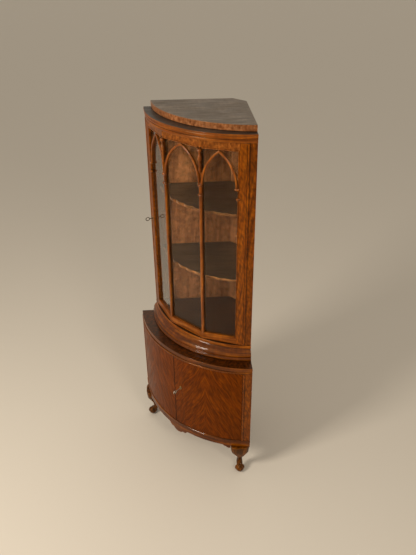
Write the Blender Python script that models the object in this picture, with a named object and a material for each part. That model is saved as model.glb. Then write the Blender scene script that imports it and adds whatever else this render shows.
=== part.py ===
"""Bow-fronted corner cabinet: a glazed upper case on a lower case with cabriole legs.

The plan is measured from the room corner that the cabinet stands in. Each side wall runs out
from that corner at 45 degrees, and the front bows out between the two walls.
"""
import math

import bmesh
import bpy
from mathutils import Matrix, Vector

NAME = "corner_cabinet"
DIAGONAL = math.sqrt(2)

# Clearances and cuts
JOINT_GAP = 0.0003
DOOR_GAP = 0.002
DOOR_SIDE_GAP = 0.0015
LOCK_PLAY = 0.0006
OVERRUN = 0.004
WELD = 0.000001

# Heights, from the floor up
LEG_TALL = 0.187
SKIRT_TALL = 0.0312
LOWER_FLOOR_THICK = 0.012
LOWER_POST_TALL = 0.4309
LOWER_TOP_THICK = 0.0097
BASE_TOP_THICK = 0.022
WAIST_TALL = 0.0554
UPPER_FLOOR_THICK = 0.018
UPPER_POST_TALL = 0.9694
UPPER_TOP_THICK = 0.018
CORNICE_TALL = 0.0357
CAP_THICK = 0.026

SKIRT_LOW = LEG_TALL
LOWER_FLOOR_LOW = SKIRT_LOW + SKIRT_TALL + JOINT_GAP
LOWER_FLOOR_HIGH = LOWER_FLOOR_LOW + LOWER_FLOOR_THICK
LOWER_POST_LOW = LOWER_FLOOR_HIGH + JOINT_GAP
LOWER_POST_HIGH = LOWER_POST_LOW + LOWER_POST_TALL
LOWER_TOP_LOW = LOWER_POST_HIGH + JOINT_GAP
LOWER_TOP_HIGH = LOWER_TOP_LOW + LOWER_TOP_THICK
BASE_TOP_LOW = LOWER_TOP_HIGH + JOINT_GAP
BASE_TOP_HIGH = BASE_TOP_LOW + BASE_TOP_THICK
WAIST_LOW = BASE_TOP_HIGH + JOINT_GAP
WAIST_HIGH = WAIST_LOW + WAIST_TALL
UPPER_FLOOR_LOW = WAIST_HIGH + JOINT_GAP
UPPER_FLOOR_HIGH = UPPER_FLOOR_LOW + UPPER_FLOOR_THICK
UPPER_POST_LOW = UPPER_FLOOR_HIGH + JOINT_GAP
UPPER_POST_HIGH = UPPER_POST_LOW + UPPER_POST_TALL
CORNICE_LOW = UPPER_POST_HIGH + JOINT_GAP
UPPER_TOP_HIGH = CORNICE_LOW + UPPER_TOP_THICK
CORNICE_HIGH = CORNICE_LOW + CORNICE_TALL
CAP_LOW = CORNICE_HIGH + JOINT_GAP
CAP_HIGH = CAP_LOW + CAP_THICK

# Plan sizes: each bow reaches FRONT from the corner in the middle and WALL along each wall
CHAMFER_LEG = 0.055
LOWER_WALL = 0.525
LOWER_BOW_EASE = 0.017
BASE_TOP_PROUD = 0.004
TOP_BEAD_PROUD = 0.009
TOP_BEAD_END_PROUD = 0.002
FLOOR_BEAD_PROUD = 0.0035
UPPER_SETBACK = 0.083
FACET_SETBACK = 0.023
CORNICE_PROUD = 0.008
CORNICE_RELIEF = 0.010
CORNICE_WIDE = 0.060
CAP_FRONT_SETBACK = 0.049
CAP_WALL_SETBACK = 0.033
LIP_FRONT_PROUD = 0.0145
LIP_WALL_PROUD = 0.006
WAIST_FOOT_FRONT_PROUD = 0.032
WAIST_FOOT_WALL_PROUD = 0.018
WAIST_BACK_FRONT_INSET = 0.0415
WAIST_BACK_WALL_INSET = 0.045
WAIST_LIP_INSET = 0.004
EDGE_ROUND = 0.0015
NOSE_SHARE = 0.45
LIP_SHARE = 0.3
BOW_STEPS = 24

LOWER_FRONT = LOWER_WALL - LOWER_BOW_EASE
UPPER_WALL = LOWER_WALL - UPPER_SETBACK
FACET_FRONT = UPPER_WALL - FACET_SETBACK
CORNICE_REACH = UPPER_WALL + CORNICE_PROUD
LIP_FRONT = FACET_FRONT + LIP_FRONT_PROUD
LIP_WALL = UPPER_WALL + LIP_WALL_PROUD

# Moulding outlines, as shares of the reach and of the height, from the top down
CORNICE_SHARES = (
    (0.80, 1.00), (0.98, 0.97), (1.00, 0.90), (0.92, 0.83), (0.70, 0.80), (0.78, 0.70), (0.80, 0.58),
    (0.70, 0.47), (0.50, 0.43), (0.32, 0.40), (0.32, 0.34), (0.55, 0.30), (0.62, 0.20), (0.55, 0.08),
    (0.40, 0.00),
)
WAIST_SHARES = (
    (0.00, 1.00), (0.06, 0.94), (0.22, 0.86), (0.44, 0.77), (0.64, 0.65), (0.78, 0.52), (0.85, 0.42),
    (0.84, 0.33), (0.76, 0.27), (0.80, 0.24), (0.93, 0.20), (1.00, 0.11), (0.98, 0.04), (0.92, 0.00),
)

# Back boards, and shelves housed in them
BOARD_THICK = 0.012
SHELF_FRONT_SETBACK = 0.031
SHELF_WALL_SETBACK = 0.047
SHELF_THICK = 0.012
SHELF_HEIGHTS = (1.095, 1.416)
SCALLOP_COUNT = 11
SCALLOP_DEEP = 0.006
SCALLOP_STEPS = 5
LOWER_SHELF_HIGH = 0.452
LOWER_SHELF_SETBACK = 0.060
GROOVE_DEEP = 0.003

# Corner posts with their bead beside the door
POST_DEEP = 0.040
POST_EDGE = 0.030
UPPER_POST_FACE = 0.038
LOWER_POST_FACE = 0.044
UPPER_BEAD_WIDE = 0.009
LOWER_BEAD_WIDE = 0.010
BEAD_PROUD = 0.003
QUIRK_WIDE = 0.002
QUIRK_DEEP = 0.0015
BEAD_STEPS = 6

# Upper door
FACET_HALF = 0.104
DOOR_THICK = 0.022
RAIL_TALL = 0.030
STILE_WIDE = 0.031
MUNTIN_HALF = 0.007
MUNTIN_PROUD = 0.003
TONGUE_HALF = 0.0025
GLASS_DEPTH = 0.010
GLASS_THICK = 0.003
SASH_BEAD_WIDE = 0.006
SASH_BEAD_PROUD = 0.002
SASH_QUIRK = 0.0008
BITE = 0.001
FILLET_WIDE = 0.006
FILLET_DEEP = 0.008
ARCH_SPRING = 1.546
ARCH_BAR_HALF = 0.0045
ARCH_BAR_PROUD = 0.001
ARCH_CROWN_SHARE = 0.5
ARCH_SLOPE_SHARE = 0.33
ARCH_STEPS = 10
DROP_TALL = 0.082
DROP_RADIUS = 0.0055
CAPITAL_TALL = 0.006
CAPITAL_THICK = 0.002
CAPITAL_DROP = 0.048

# The carved drop, as shares of its swelling and its height, from the bottom up
DROP_SHARES = (
    (0.00, 0.02), (0.25, 0.08), (0.55, 0.13), (0.25, 0.19), (0.00, 0.26), (0.00, 0.35), (0.75, 0.43),
    (0.85, 0.49), (0.35, 0.55), (0.00, 0.61), (0.00, 0.72), (0.80, 0.79), (1.00, 0.86), (0.50, 0.92),
    (0.40, 0.96), (0.70, 1.00),
)

# The moulding round the panes, as shares of its width and its rise, from the wood inwards
SASH_BEAD_SHARES = (
    (0.12, 0.00), (0.16, 0.55), (0.34, 0.92), (0.56, 1.00), (0.78, 0.80), (0.94, 0.35), (1.00, -0.20),
)

# Lower doors
LOWER_DOOR_THICK = 0.020
MEETING_GAP = 0.0015
SEAM_SHIFT = 0.009
LOWER_DOOR_STEPS = 12

# Pivot plates let into the door edges
PIVOT_EDGE = 0.009
PIVOT_DEPTH = 0.005
PIN_RADIUS = 0.0025
PIN_PLAY = 0.0001
PIN_REACH = 0.0055
PIN_SIDES = 24
PLATE_LONG = 0.028
PLATE_WIDE = 0.007
PLATE_THICK = 0.0016
PLATE_INSET = 0.002

# Locks and keys
UPPER_KEY_HIGH = 1.259
UPPER_KEY_INSET = 0.0172
LOWER_KEY_HIGH = 0.476
LOWER_KEY_INSET = 0.0395
LOCK_BEHIND = 0.0098
LOCK_EDGE = 0.003
LOCK_TALL = 0.050
LOCK_WALL = 0.0012
LOCK_COVER = 0.0003
LOCK_DEEP = 0.0095
BOLT_TALL = 0.008
BOLT_THICK = 0.0035
BOLT_BEHIND = 0.0048
BOLT_RISE = 0.0085
BOLT_THROW = 0.006
KEY_RADIUS = 0.0022
KEY_HOLE_RADIUS = 0.0029
UPPER_KEY_STEM = 0.0165
LOWER_KEY_STEM = 0.033
KEY_BIT_REACH = 0.007
KEY_BIT_THICK = 0.002
KEY_BIT_LONG = 0.0045
KEY_BOW_WIDE = 0.022
KEY_BOW_TALL = 0.020
KEY_BOW_WIRE = 0.0018
KEY_SIDES = 12
ESCUTCHEON_WIDE = 0.012
ESCUTCHEON_TALL = 0.022
ESCUTCHEON_THICK = 0.001
ESCUTCHEON_STEPS = 20

# Slip bolts inside the left lower door
SLIP_CASE_WIDE = 0.014
SLIP_CASE_TALL = 0.050
SLIP_CASE_DEEP = 0.0065
SLIP_WALL = 0.0015
SLIP_INSET = 0.022
SLIP_BAR_WIDE = 0.006
SLIP_BAR_THICK = 0.003
SLIP_THROW = 0.007
SLIP_PLAY = 0.0004
SLIP_WINDOW_TALL = 0.020
SLIP_KNOB_SHARE = 0.9
SLIP_KNOB_LONG = 0.005

# Stops behind the doors
STOP_WIDE = 0.024
STOP_DEEP = 0.012
STOP_TALL = 0.010
STOP_GAP = 0.0005

# Skirt with a centre drop and an ear beside each leg
SKIRT_THICK = 0.018
DROP_HALF = 0.066
DROP_DEEP = 0.030
EAR_LONG = 0.040
EAR_DEEP = 0.018
EAR_GAP = 0.003
RAIL_THICK = 0.014
SKIRT_PLAIN_STEPS = 4
SKIRT_DROP_SHARES = (
    (0.00, 1.00), (0.16, 0.97), (0.32, 0.86), (0.44, 0.64), (0.50, 0.50), (0.57, 0.57), (0.70, 0.55),
    (0.82, 0.38), (0.91, 0.12), (1.00, 0.00),
)
SKIRT_EAR_SHARES = (
    (0.00, 0.00), (0.12, 0.30), (0.28, 0.50), (0.42, 0.50), (0.52, 0.80), (0.75, 1.00), (1.00, 0.90),
)

# Legs
LEG_DEPTH = 0.0455
LEG_SETBACK = 0.019
KNEE_HALF = 0.047
KNEE_DEEP_HALF = 0.023
KNEE_SWING = 0.020
KNEE_LEAN = 0.002
LEG_SIDES = 14
LEG_SQUARENESS = 0.8
BALL_RADIUS = 0.0215
BALL_SINK = 0.001
BALL_SEGMENTS = 16
BALL_RINGS = 9
CLAW_RADIUS = 0.0052
CLAW_PROUD = 0.0005
CLAW_COUNT = 4
CLAW_START = 12
CLAW_END = 112
CLAW_STEPS = 4
CLAW_TIP_SHARE = 0.6
BLOCK_WIDE = 0.036
BLOCK_ROOT = 0.013
REAR_LEG_TOP = 0.036
REAR_LEG_FOOT = 0.028
REAR_LEG_SETBACK = 0.018
REAR_BLOCK_REACH = 0.100
# Each row gives shares of height, half width, half depth, swing along the wall and lean from it
LEG_SHARES = (
    (1.00, 1.00, 0.93, 0.325, 1.0), (0.93, 1.00, 0.98, 0.275, 1.0), (0.86, 0.985, 1.00, 0.21, 1.0),
    (0.79, 0.95, 1.01, 0.115, 0.8), (0.72, 0.81, 0.99, 0.01, 0.6), (0.65, 0.59, 0.93, -0.085, 0.3),
    (0.60, 0.39, 0.87, -0.19, 0.0), (0.54, 0.29, 0.76, -0.40, 0.0), (0.47, 0.275, 0.63, -0.725, 0.0),
    (0.41, 0.29, 0.59, -0.90, 0.0), (0.34, 0.31, 0.59, -1.05, 0.0), (0.27, 0.33, 0.63, -1.00, 0.0),
    (0.21, 0.34, 0.65, -0.575, 0.0), (0.14, 0.26, 0.52, -0.20, 0.0),
)

# Surface colours, roughness, metallic value and opacity
FINISHES = {
    "mahogany": ((0.33, 0.115, 0.028), 0.32, 0.0, 1.0),
    "top_veneer": ((0.12, 0.085, 0.06), 0.38, 0.0, 1.0),
    "back_veneer": ((0.28, 0.10, 0.03), 0.45, 0.0, 1.0),
    "carcass_wood": ((0.20, 0.085, 0.03), 0.55, 0.0, 1.0),
    "dark_mahogany": ((0.13, 0.045, 0.018), 0.35, 0.0, 1.0),
    "brass": ((0.62, 0.47, 0.24), 0.35, 1.0, 1.0),
    "steel": ((0.42, 0.41, 0.39), 0.40, 1.0, 1.0),
    "glass": ((0.9, 0.93, 0.92), 0.03, 0.0, 0.3),
}


def clear_scene():
    for item in list(bpy.data.objects):
        bpy.data.objects.remove(item)


def new_collection(name):
    collection = bpy.data.collections.new(name)
    bpy.context.scene.collection.children.link(collection)
    return collection


def finish_material(name):
    """Return the named surface as a principled material, made once."""
    material = bpy.data.materials.get(name)
    if material is None:
        colour, roughness, metallic, opacity = FINISHES[name]
        material = bpy.data.materials.new(name)
        material.use_nodes = True
        shader = material.node_tree.nodes["Principled BSDF"]
        shader.inputs["Base Color"].default_value = (*colour, 1.0)
        shader.inputs["Roughness"].default_value = roughness
        shader.inputs["Metallic"].default_value = metallic
        shader.inputs["Alpha"].default_value = opacity
    return material


clear_scene()
PARTS = new_collection(NAME)
CUTTERS = new_collection(NAME + "_cutters")
ROOT = bpy.data.objects.new(NAME, None)
PARTS.objects.link(ROOT)


def add_part(name, mesh, finish, smooth_angle=math.radians(40)):
    """Add one named sub-part made of a finished mesh."""
    mesh.name = name
    mesh.materials.clear()
    mesh.materials.append(finish_material(finish))
    mesh.shade_smooth()
    mesh.set_sharp_from_angle(angle=smooth_angle)
    part = bpy.data.objects.new(name, mesh)
    part.parent = ROOT
    PARTS.objects.link(part)
    return part


def add_tool(mesh):
    """Add a mesh that only cuts or joins another sub-part."""
    tool = bpy.data.objects.new("tool", mesh)
    tool.parent = ROOT
    tool.hide_render = True
    tool.display_type = "WIRE"
    CUTTERS.objects.link(tool)
    return tool


def combine(part, meshes, operation):
    for mesh in meshes:
        modifier = part.modifiers.new(operation.lower(), "BOOLEAN")
        modifier.operation = operation
        modifier.solver = "EXACT"
        modifier.object = add_tool(mesh)


def cut(part, *meshes):
    combine(part, meshes, "DIFFERENCE")


def join(part, *meshes):
    combine(part, meshes, "UNION")


def finish_mesh(bm, name="shape"):
    """Turn edited geometry into a mesh whose faces point out."""
    bmesh.ops.recalc_face_normals(bm, faces=bm.faces)
    mesh = bpy.data.meshes.new(name)
    bm.to_mesh(mesh)
    bm.free()
    return mesh


def evaluated_mesh(guide):
    """Take the mesh of a curve or modified object, welded, and remove the object."""
    bpy.context.view_layer.update()
    depsgraph = bpy.context.evaluated_depsgraph_get()
    mesh = bpy.data.meshes.new_from_object(guide.evaluated_get(depsgraph))
    mesh.transform(guide.matrix_world)
    bpy.data.objects.remove(guide)
    bm = bmesh.new()
    bm.from_mesh(mesh)
    bmesh.ops.remove_doubles(bm, verts=bm.verts, dist=WELD)
    return finish_mesh(bm)


def flat_mesh(outlines, low, high):
    """Fill flat outlines in plan and give them a height; a second outline is a hole."""
    curve = bpy.data.curves.new("outline", "CURVE")
    curve.dimensions = "2D"
    curve.fill_mode = "BOTH"
    curve.extrude = (high - low) / 2
    for outline in outlines:
        spline = curve.splines.new("POLY")
        spline.points.add(len(outline) - 1)
        spline.use_cyclic_u = True
        for point, (x, y) in zip(spline.points, outline):
            point.co = (x, y, 0, 1)
    guide = bpy.data.objects.new("outline", curve)
    guide.location.z = (low + high) / 2
    bpy.context.scene.collection.objects.link(guide)
    return evaluated_mesh(guide)


def tube_mesh(points, radii, closed=False):
    """A round bar through the points, with its own radius at each."""
    curve = bpy.data.curves.new("bar", "CURVE")
    curve.dimensions = "3D"
    curve.bevel_depth = 1
    curve.bevel_resolution = 1
    curve.use_fill_caps = not closed
    spline = curve.splines.new("POLY")
    spline.points.add(len(points) - 1)
    spline.use_cyclic_u = closed
    for point, place, radius in zip(spline.points, points, radii):
        point.co = (*place, 1)
        point.radius = radius
    guide = bpy.data.objects.new("bar", curve)
    bpy.context.scene.collection.objects.link(guide)
    return evaluated_mesh(guide)


def loft_mesh(rings, closed=False):
    """Join sections that have the same number of points, and cap the two ends."""
    bm = bmesh.new()
    loops = [[bm.verts.new(point) for point in ring] for ring in rings]
    following = loops[1:] + loops[:1] if closed else loops[1:]
    for near, far in zip(loops, following):
        for i in range(len(near)):
            j = (i + 1) % len(near)
            bm.faces.new((near[i], near[j], far[j], far[i]))
    if not closed:
        bm.faces.new(reversed(loops[0]))
        bm.faces.new(loops[-1])
    return finish_mesh(bm)


def round_front(mesh, arc, radius, segments):
    """Round the long edges of a board that follow its bow."""
    bm = bmesh.new()
    bm.from_mesh(mesh)
    centre, reach = arc

    def on_bow(vertex):
        return abs(math.hypot(vertex.co.x, vertex.co.y - centre) - reach) < WELD

    def level(edge):
        return abs(edge.verts[0].co.z - edge.verts[1].co.z) < WELD

    edges = [edge for edge in bm.edges if level(edge) and all(on_bow(vertex) for vertex in edge.verts)]
    edges = [edge for edge in edges if edge.calc_face_angle(0) > math.radians(60)]
    bmesh.ops.bevel(bm, geom=edges, offset=radius, segments=segments, profile=0.5, affect="EDGES")
    return finish_mesh(bm)


class Frame:
    """A local frame in plan: across points along a face, inward points into the wood.

    Unless it is given, inward is the direction square to across that points to the back.
    """

    def __init__(self, origin, across, inward=None):
        self.origin = Vector(origin)
        self.across = Vector(across).normalized()
        side = math.copysign(1, self.across.x)
        self.inward = Vector(inward or (-self.across.y * side, self.across.x * side)).normalized()

    def plan(self, along, depth):
        point = self.origin + self.across * along + self.inward * depth
        return (point.x, point.y)

    def place(self, along, depth, height):
        return (*self.plan(along, depth), height)

    def moved(self, along, depth=0):
        return Frame(self.plan(along, depth), self.across, tuple(self.inward))

    def box(self, alongs, depths, heights):
        """A box between two distances along, two depths and two heights."""
        spans = [pair[1] - pair[0] for pair in (alongs, depths, heights)]
        size = Matrix.Diagonal((*spans, 1))
        middle = self.place(sum(alongs) / 2, sum(depths) / 2, sum(heights) / 2)
        turn = Matrix((self.across.to_3d(), self.inward.to_3d(), Vector((0, 0, 1)))).transposed().to_4x4()
        bm = bmesh.new()
        bmesh.ops.create_cube(bm, size=1, matrix=Matrix.Translation(middle) @ turn @ size)
        return finish_mesh(bm)

    def bar(self, along, height, depths, radius, sides):
        """A round bar that runs into the wood between two depths."""
        length = depths[1] - depths[0]
        middle = self.place(along, sum(depths) / 2, height)
        turn = self.inward.to_3d().to_track_quat("Z", "X").to_matrix().to_4x4()
        bm = bmesh.new()
        bmesh.ops.create_cone(
            bm, cap_ends=True, segments=sides, radius1=radius, radius2=radius, depth=length,
            matrix=Matrix.Translation(middle) @ turn,
        )
        return finish_mesh(bm)

    def post(self, along, depth, heights, radius, sides):
        """An upright round bar between two heights."""
        length = heights[1] - heights[0]
        bm = bmesh.new()
        bmesh.ops.create_cone(
            bm, cap_ends=True, segments=sides, radius1=radius, radius2=radius, depth=length,
            matrix=Matrix.Translation(self.place(along, depth, sum(heights) / 2)),
        )
        return finish_mesh(bm)


def wall_point(side, along, depth):
    """A plan point: so far along the wall of that side, and so deep into the room from it."""
    return (side * (along - depth) / DIAGONAL, -(along + depth) / DIAGONAL)


def wall_frame(side, along=0):
    return Frame(wall_point(side, along, 0), (side, -1), (-side, -1))


def bow(front, wall):
    """The arc through the middle of the front and the two wall ends, as (centre y, radius)."""
    corner = wall / DIAGONAL
    rise = front - corner
    radius = (corner ** 2 + rise ** 2) / (2 * rise)
    return (radius - front, radius)


def grown(arc, out):
    return (arc[0], arc[1] + out)


def bow_point(arc, angle):
    return (arc[1] * math.sin(angle), arc[0] - arc[1] * math.cos(angle))


def bow_end(arc, depth=0):
    """The angle at which the arc comes to this depth from the wall."""
    return math.pi / 4 - math.asin((depth * DIAGONAL + arc[0]) / (DIAGONAL * arc[1]))


def bow_along(arc, depth=0):
    """How far along the wall the arc is, at this depth from the wall."""
    x, y = bow_point(arc, bow_end(arc, depth))
    return (x - y) / DIAGONAL


def spread(start, end, steps):
    return [start + (end - start) * step / steps for step in range(steps + 1)]


def chamfer_point(side, inset=0):
    """The plan point where the cut back corner meets a wall, moved in by an inset."""
    depth = CHAMFER_LEG / DIAGONAL + inset
    return (side * (depth - inset * DIAGONAL), -depth)


def case_outline(arc, inset=0, wave=None, shoulder=None):
    """The plan of a board that fills the corner up to the arc.

    It keeps the inset from the walls; past a shoulder it runs out to the walls.
    """
    end = bow_end(grown(arc, wave(0)) if wave else arc, 0 if shoulder else inset)
    outline = [chamfer_point(-1, inset), chamfer_point(1, inset)]
    if shoulder:
        outline += [wall_point(1, shoulder, inset), wall_point(1, shoulder, 0)]
    if wave is None:
        outline += [bow_point(arc, angle) for angle in spread(end, -end, BOW_STEPS)]
    else:
        steps = SCALLOP_COUNT * SCALLOP_STEPS
        for step, angle in enumerate(spread(end, -end, steps)):
            outline.append(bow_point(grown(arc, wave(step / SCALLOP_STEPS)), angle))
    if shoulder:
        outline += [wall_point(-1, shoulder, 0), wall_point(-1, shoulder, inset)]
    return outline


def scallop(turns):
    return SCALLOP_DEEP * (abs(math.sin(math.pi * turns)) - 1)


LOWER_ARC = bow(LOWER_FRONT, LOWER_WALL)


def bow_frame(arc, angle, side):
    """A frame on the arc whose across direction runs towards that side's wall."""
    return Frame(bow_point(arc, angle), (side * math.cos(angle), side * math.sin(angle)))


# Facets of the upper door: a middle one, and one on each side up to the post
POST_INNER = wall_point(1, UPPER_WALL, UPPER_POST_FACE)
FACET_RUN = Vector(POST_INNER) - Vector((FACET_HALF, -FACET_FRONT))
FACET_BEND = math.atan2(FACET_RUN.y, FACET_RUN.x)
DOOR_EDGE = FACET_RUN.length - DOOR_SIDE_GAP
STILE_INNER = DOOR_EDGE - STILE_WIDE
MITRE = math.tan(FACET_BEND / 2)
DOOR_LOW = UPPER_FLOOR_HIGH + DOOR_GAP
DOOR_HIGH = CORNICE_LOW - DOOR_GAP
PANE_LOW = DOOR_LOW + RAIL_TALL
PANE_HIGH = DOOR_HIGH - RAIL_TALL
LOWER_DOOR_LOW = LOWER_FLOOR_HIGH + DOOR_GAP
LOWER_DOOR_HIGH = LOWER_TOP_LOW - DOOR_GAP


def facet(side):
    """The frame of a door facet: side 0 from its middle, sides 1 and -1 from the fold."""
    if side == 0:
        return Frame((0, -FACET_FRONT), (1, 0))
    return Frame((side * FACET_HALF, -FACET_FRONT), (side * FACET_RUN.x, FACET_RUN.y))


def fold(side):
    """The frame at the fold between two facets, square to its bisector."""
    across = (side * math.cos(FACET_BEND / 2), math.sin(FACET_BEND / 2))
    return Frame((side * FACET_HALF, -FACET_FRONT), across)


def post_mesh(side, corner, inner, edge_direction, wall, bead_wide, heights):
    """A corner post: flat face, quirk and bead, then the edge beside the door."""
    start = Vector(inner)
    run = Vector(corner) - start
    face = run.length
    across = run.normalized()
    out = Vector((across.y, -across.x)) * side
    if out.y > 0:
        out = -out

    def on_face(distance, proud):
        return tuple(start + across * distance + out * proud)

    outline = [on_face(face, 0)]
    outline.append(on_face(bead_wide + QUIRK_WIDE, 0))
    outline.append(on_face(bead_wide + QUIRK_WIDE, -QUIRK_DEEP))
    outline.append(on_face(bead_wide, -QUIRK_DEEP))
    for turn in spread(0, math.pi, BEAD_STEPS):
        outline.append(on_face(bead_wide * (1 + math.cos(turn)) / 2, BEAD_PROUD * math.sin(turn)))
    behind = start + Vector(edge_direction).normalized() * POST_EDGE
    depth = abs(abs(behind.x) + behind.y) / DIAGONAL
    outline.append(tuple(behind))
    outline.append(wall_point(side, wall - POST_DEEP, depth))
    outline.append(wall_point(side, wall - POST_DEEP, 0))
    return flat_mesh([outline], *heights)


def upper_post(side):
    frame = facet(side)
    inner = (side * POST_INNER[0], POST_INNER[1])
    corner = wall_point(side, UPPER_WALL, 0)
    heights = (UPPER_POST_LOW, UPPER_POST_HIGH)
    return post_mesh(side, corner, inner, frame.inward, UPPER_WALL, UPPER_BEAD_WIDE, heights)


LOWER_END = bow_end(LOWER_ARC)
LOWER_POST_ANGLE = LOWER_END - LOWER_POST_FACE / LOWER_ARC[1]
LOWER_DOOR_ANGLE = LOWER_POST_ANGLE - DOOR_SIDE_GAP / LOWER_ARC[1]
MEETING_ANGLE = MEETING_GAP / 2 / LOWER_ARC[1]
SEAM_ANGLE = SEAM_SHIFT / LOWER_ARC[1]


def lower_post(side):
    corner = bow_point(LOWER_ARC, side * LOWER_END)
    inner = bow_point(LOWER_ARC, side * LOWER_POST_ANGLE)
    inward = bow_frame(LOWER_ARC, side * LOWER_POST_ANGLE, side).inward
    heights = (LOWER_POST_LOW, LOWER_POST_HIGH)
    return post_mesh(side, corner, inner, inward, LOWER_WALL, LOWER_BEAD_WIDE, heights)


def wall_board(side, wall_end, low, high):
    start = Vector(chamfer_point(side))
    inner = Vector(chamfer_point(side, BOARD_THICK))
    shift = Vector((side, -1)).normalized() * JOINT_GAP
    outline = [
        tuple(start + shift), wall_point(side, wall_end, 0), wall_point(side, wall_end, BOARD_THICK),
        tuple(inner + shift),
    ]
    return flat_mesh([outline], low, high)


def corner_board(low, high):
    back = [chamfer_point(-1), chamfer_point(1)]
    outline = back + [chamfer_point(1, BOARD_THICK), chamfer_point(-1, BOARD_THICK)]
    return flat_mesh([outline], low, high)


def back_boards(case, wall, low, high):
    """The three boards that close a case against the walls and the cut corner."""
    end = wall - POST_DEEP - JOINT_GAP
    boards = [add_part(case + "_back_corner", corner_board(low, high), "back_veneer")]
    for side, word in ((-1, "left"), (1, "right")):
        boards.append(add_part(case + "_back_" + word, wall_board(side, end, low, high), "back_veneer"))
    return boards


def house_shelf(boards, low, end):
    """Cut a stopped groove for a shelf in the corner board and the two wall boards."""
    corner, *walls = boards
    heights = (low - JOINT_GAP, low + SHELF_THICK + JOINT_GAP)
    depths = (BOARD_THICK - GROOVE_DEEP, BOARD_THICK + OVERRUN)
    for side, board in zip((-1, 1), walls):
        cut(board, wall_frame(side).box((0, end + JOINT_GAP), depths, heights))
    face = Frame((0, -CHAMFER_LEG / DIAGONAL), (1, 0), (0, -1))
    cut(corner, face.box((-CHAMFER_LEG, CHAMFER_LEG), depths, heights))


def moulding_mesh(rows, back, low, high):
    """A bowed moulding: each row is (arc, height); its back is one plain arc."""
    outline = [(back, high)] + rows + [(back, low)]
    rings = []
    for share in spread(-1, 1, BOW_STEPS):
        rings.append([(*bow_point(arc, share * bow_end(arc)), height) for arc, height in outline])
    return loft_mesh(rings)


def cornice_part():
    inner = CORNICE_REACH - CORNICE_WIDE
    root = CORNICE_REACH - CORNICE_RELIEF
    rows = []
    for out_share, height_share in CORNICE_SHARES:
        rows.append(((0, root + CORNICE_RELIEF * out_share), CORNICE_LOW + CORNICE_TALL * height_share))
    add_part("cornice", moulding_mesh(rows, (0, inner), CORNICE_LOW, CORNICE_HIGH), "mahogany")


def waist_part():
    rows = []
    for out_share, height_share in WAIST_SHARES:
        front = LIP_FRONT - WAIST_LIP_INSET
        front += (WAIST_LIP_INSET + WAIST_FOOT_FRONT_PROUD) * out_share
        wall = LIP_WALL - WAIST_LIP_INSET
        wall += (WAIST_LIP_INSET + WAIST_FOOT_WALL_PROUD) * out_share
        rows.append((bow(front, wall), WAIST_LOW + WAIST_TALL * height_share))
    back = bow(LIP_FRONT - WAIST_BACK_FRONT_INSET, LIP_WALL - WAIST_BACK_WALL_INSET)
    add_part("waist_moulding", moulding_mesh(rows, back, WAIST_LOW, WAIST_HIGH), "mahogany")


def bowed_board(name, arc, heights, radius, segments, finish, inset=0, shoulder=None):
    mesh = flat_mesh([case_outline(arc, inset, shoulder=shoulder)], *heights)
    return add_part(name, round_front(mesh, arc, radius, segments), finish)


def top_parts():
    cap_arc = bow(CORNICE_REACH - CAP_FRONT_SETBACK, CORNICE_REACH - CAP_WALL_SETBACK)
    bowed_board("cap_top", cap_arc, (CAP_LOW, CAP_HIGH), EDGE_ROUND, 2, "top_veneer")
    cornice_part()
    inner = (0, CORNICE_REACH - CORNICE_WIDE - JOINT_GAP)
    outline = case_outline(inner, BOARD_THICK + JOINT_GAP)
    add_part("upper_case_top", flat_mesh([outline], CORNICE_LOW, UPPER_TOP_HIGH), "carcass_wood")


def shelf_parts(upper_boards, lower_boards):
    """Two display shelves with scalloped fronts and a plain lower shelf, housed in the back boards."""
    arc = bow(FACET_FRONT - SHELF_FRONT_SETBACK, UPPER_WALL - SHELF_WALL_SETBACK)
    inset = BOARD_THICK - GROOVE_DEEP + JOINT_GAP
    end = bow_along(grown(arc, scallop(1 / SCALLOP_STEPS)), inset)
    for name, high in zip(("display_shelf_lower", "display_shelf_upper"), SHELF_HEIGHTS):
        low = high - SHELF_THICK
        add_part(name, flat_mesh([case_outline(arc, inset, scallop)], low, high), "back_veneer")
        house_shelf(upper_boards, low, end)
    arc = grown(LOWER_ARC, -LOWER_SHELF_SETBACK)
    low = LOWER_SHELF_HIGH - SHELF_THICK
    add_part("lower_shelf", flat_mesh([case_outline(arc, inset)], low, LOWER_SHELF_HIGH), "carcass_wood")
    house_shelf(lower_boards, low, bow_along(arc, inset))


def skirt_drop(distance, half):
    """How far the skirt hangs below its straight edge, at a distance from the middle."""
    centre = abs(distance) / DROP_HALF
    ear = (abs(distance) - half + EAR_LONG) / EAR_LONG
    if centre < 1:
        return DROP_DEEP * interpolate(SKIRT_DROP_SHARES, centre)
    if 0 < ear <= 1:
        return EAR_DEEP * interpolate(SKIRT_EAR_SHARES, ear)
    return 0


def interpolate(rows, value):
    for (start, first), (end, last) in zip(rows, rows[1:]):
        if value <= end:
            return first + (last - first) * (value - start) / (end - start)
    return rows[-1][1]


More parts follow.
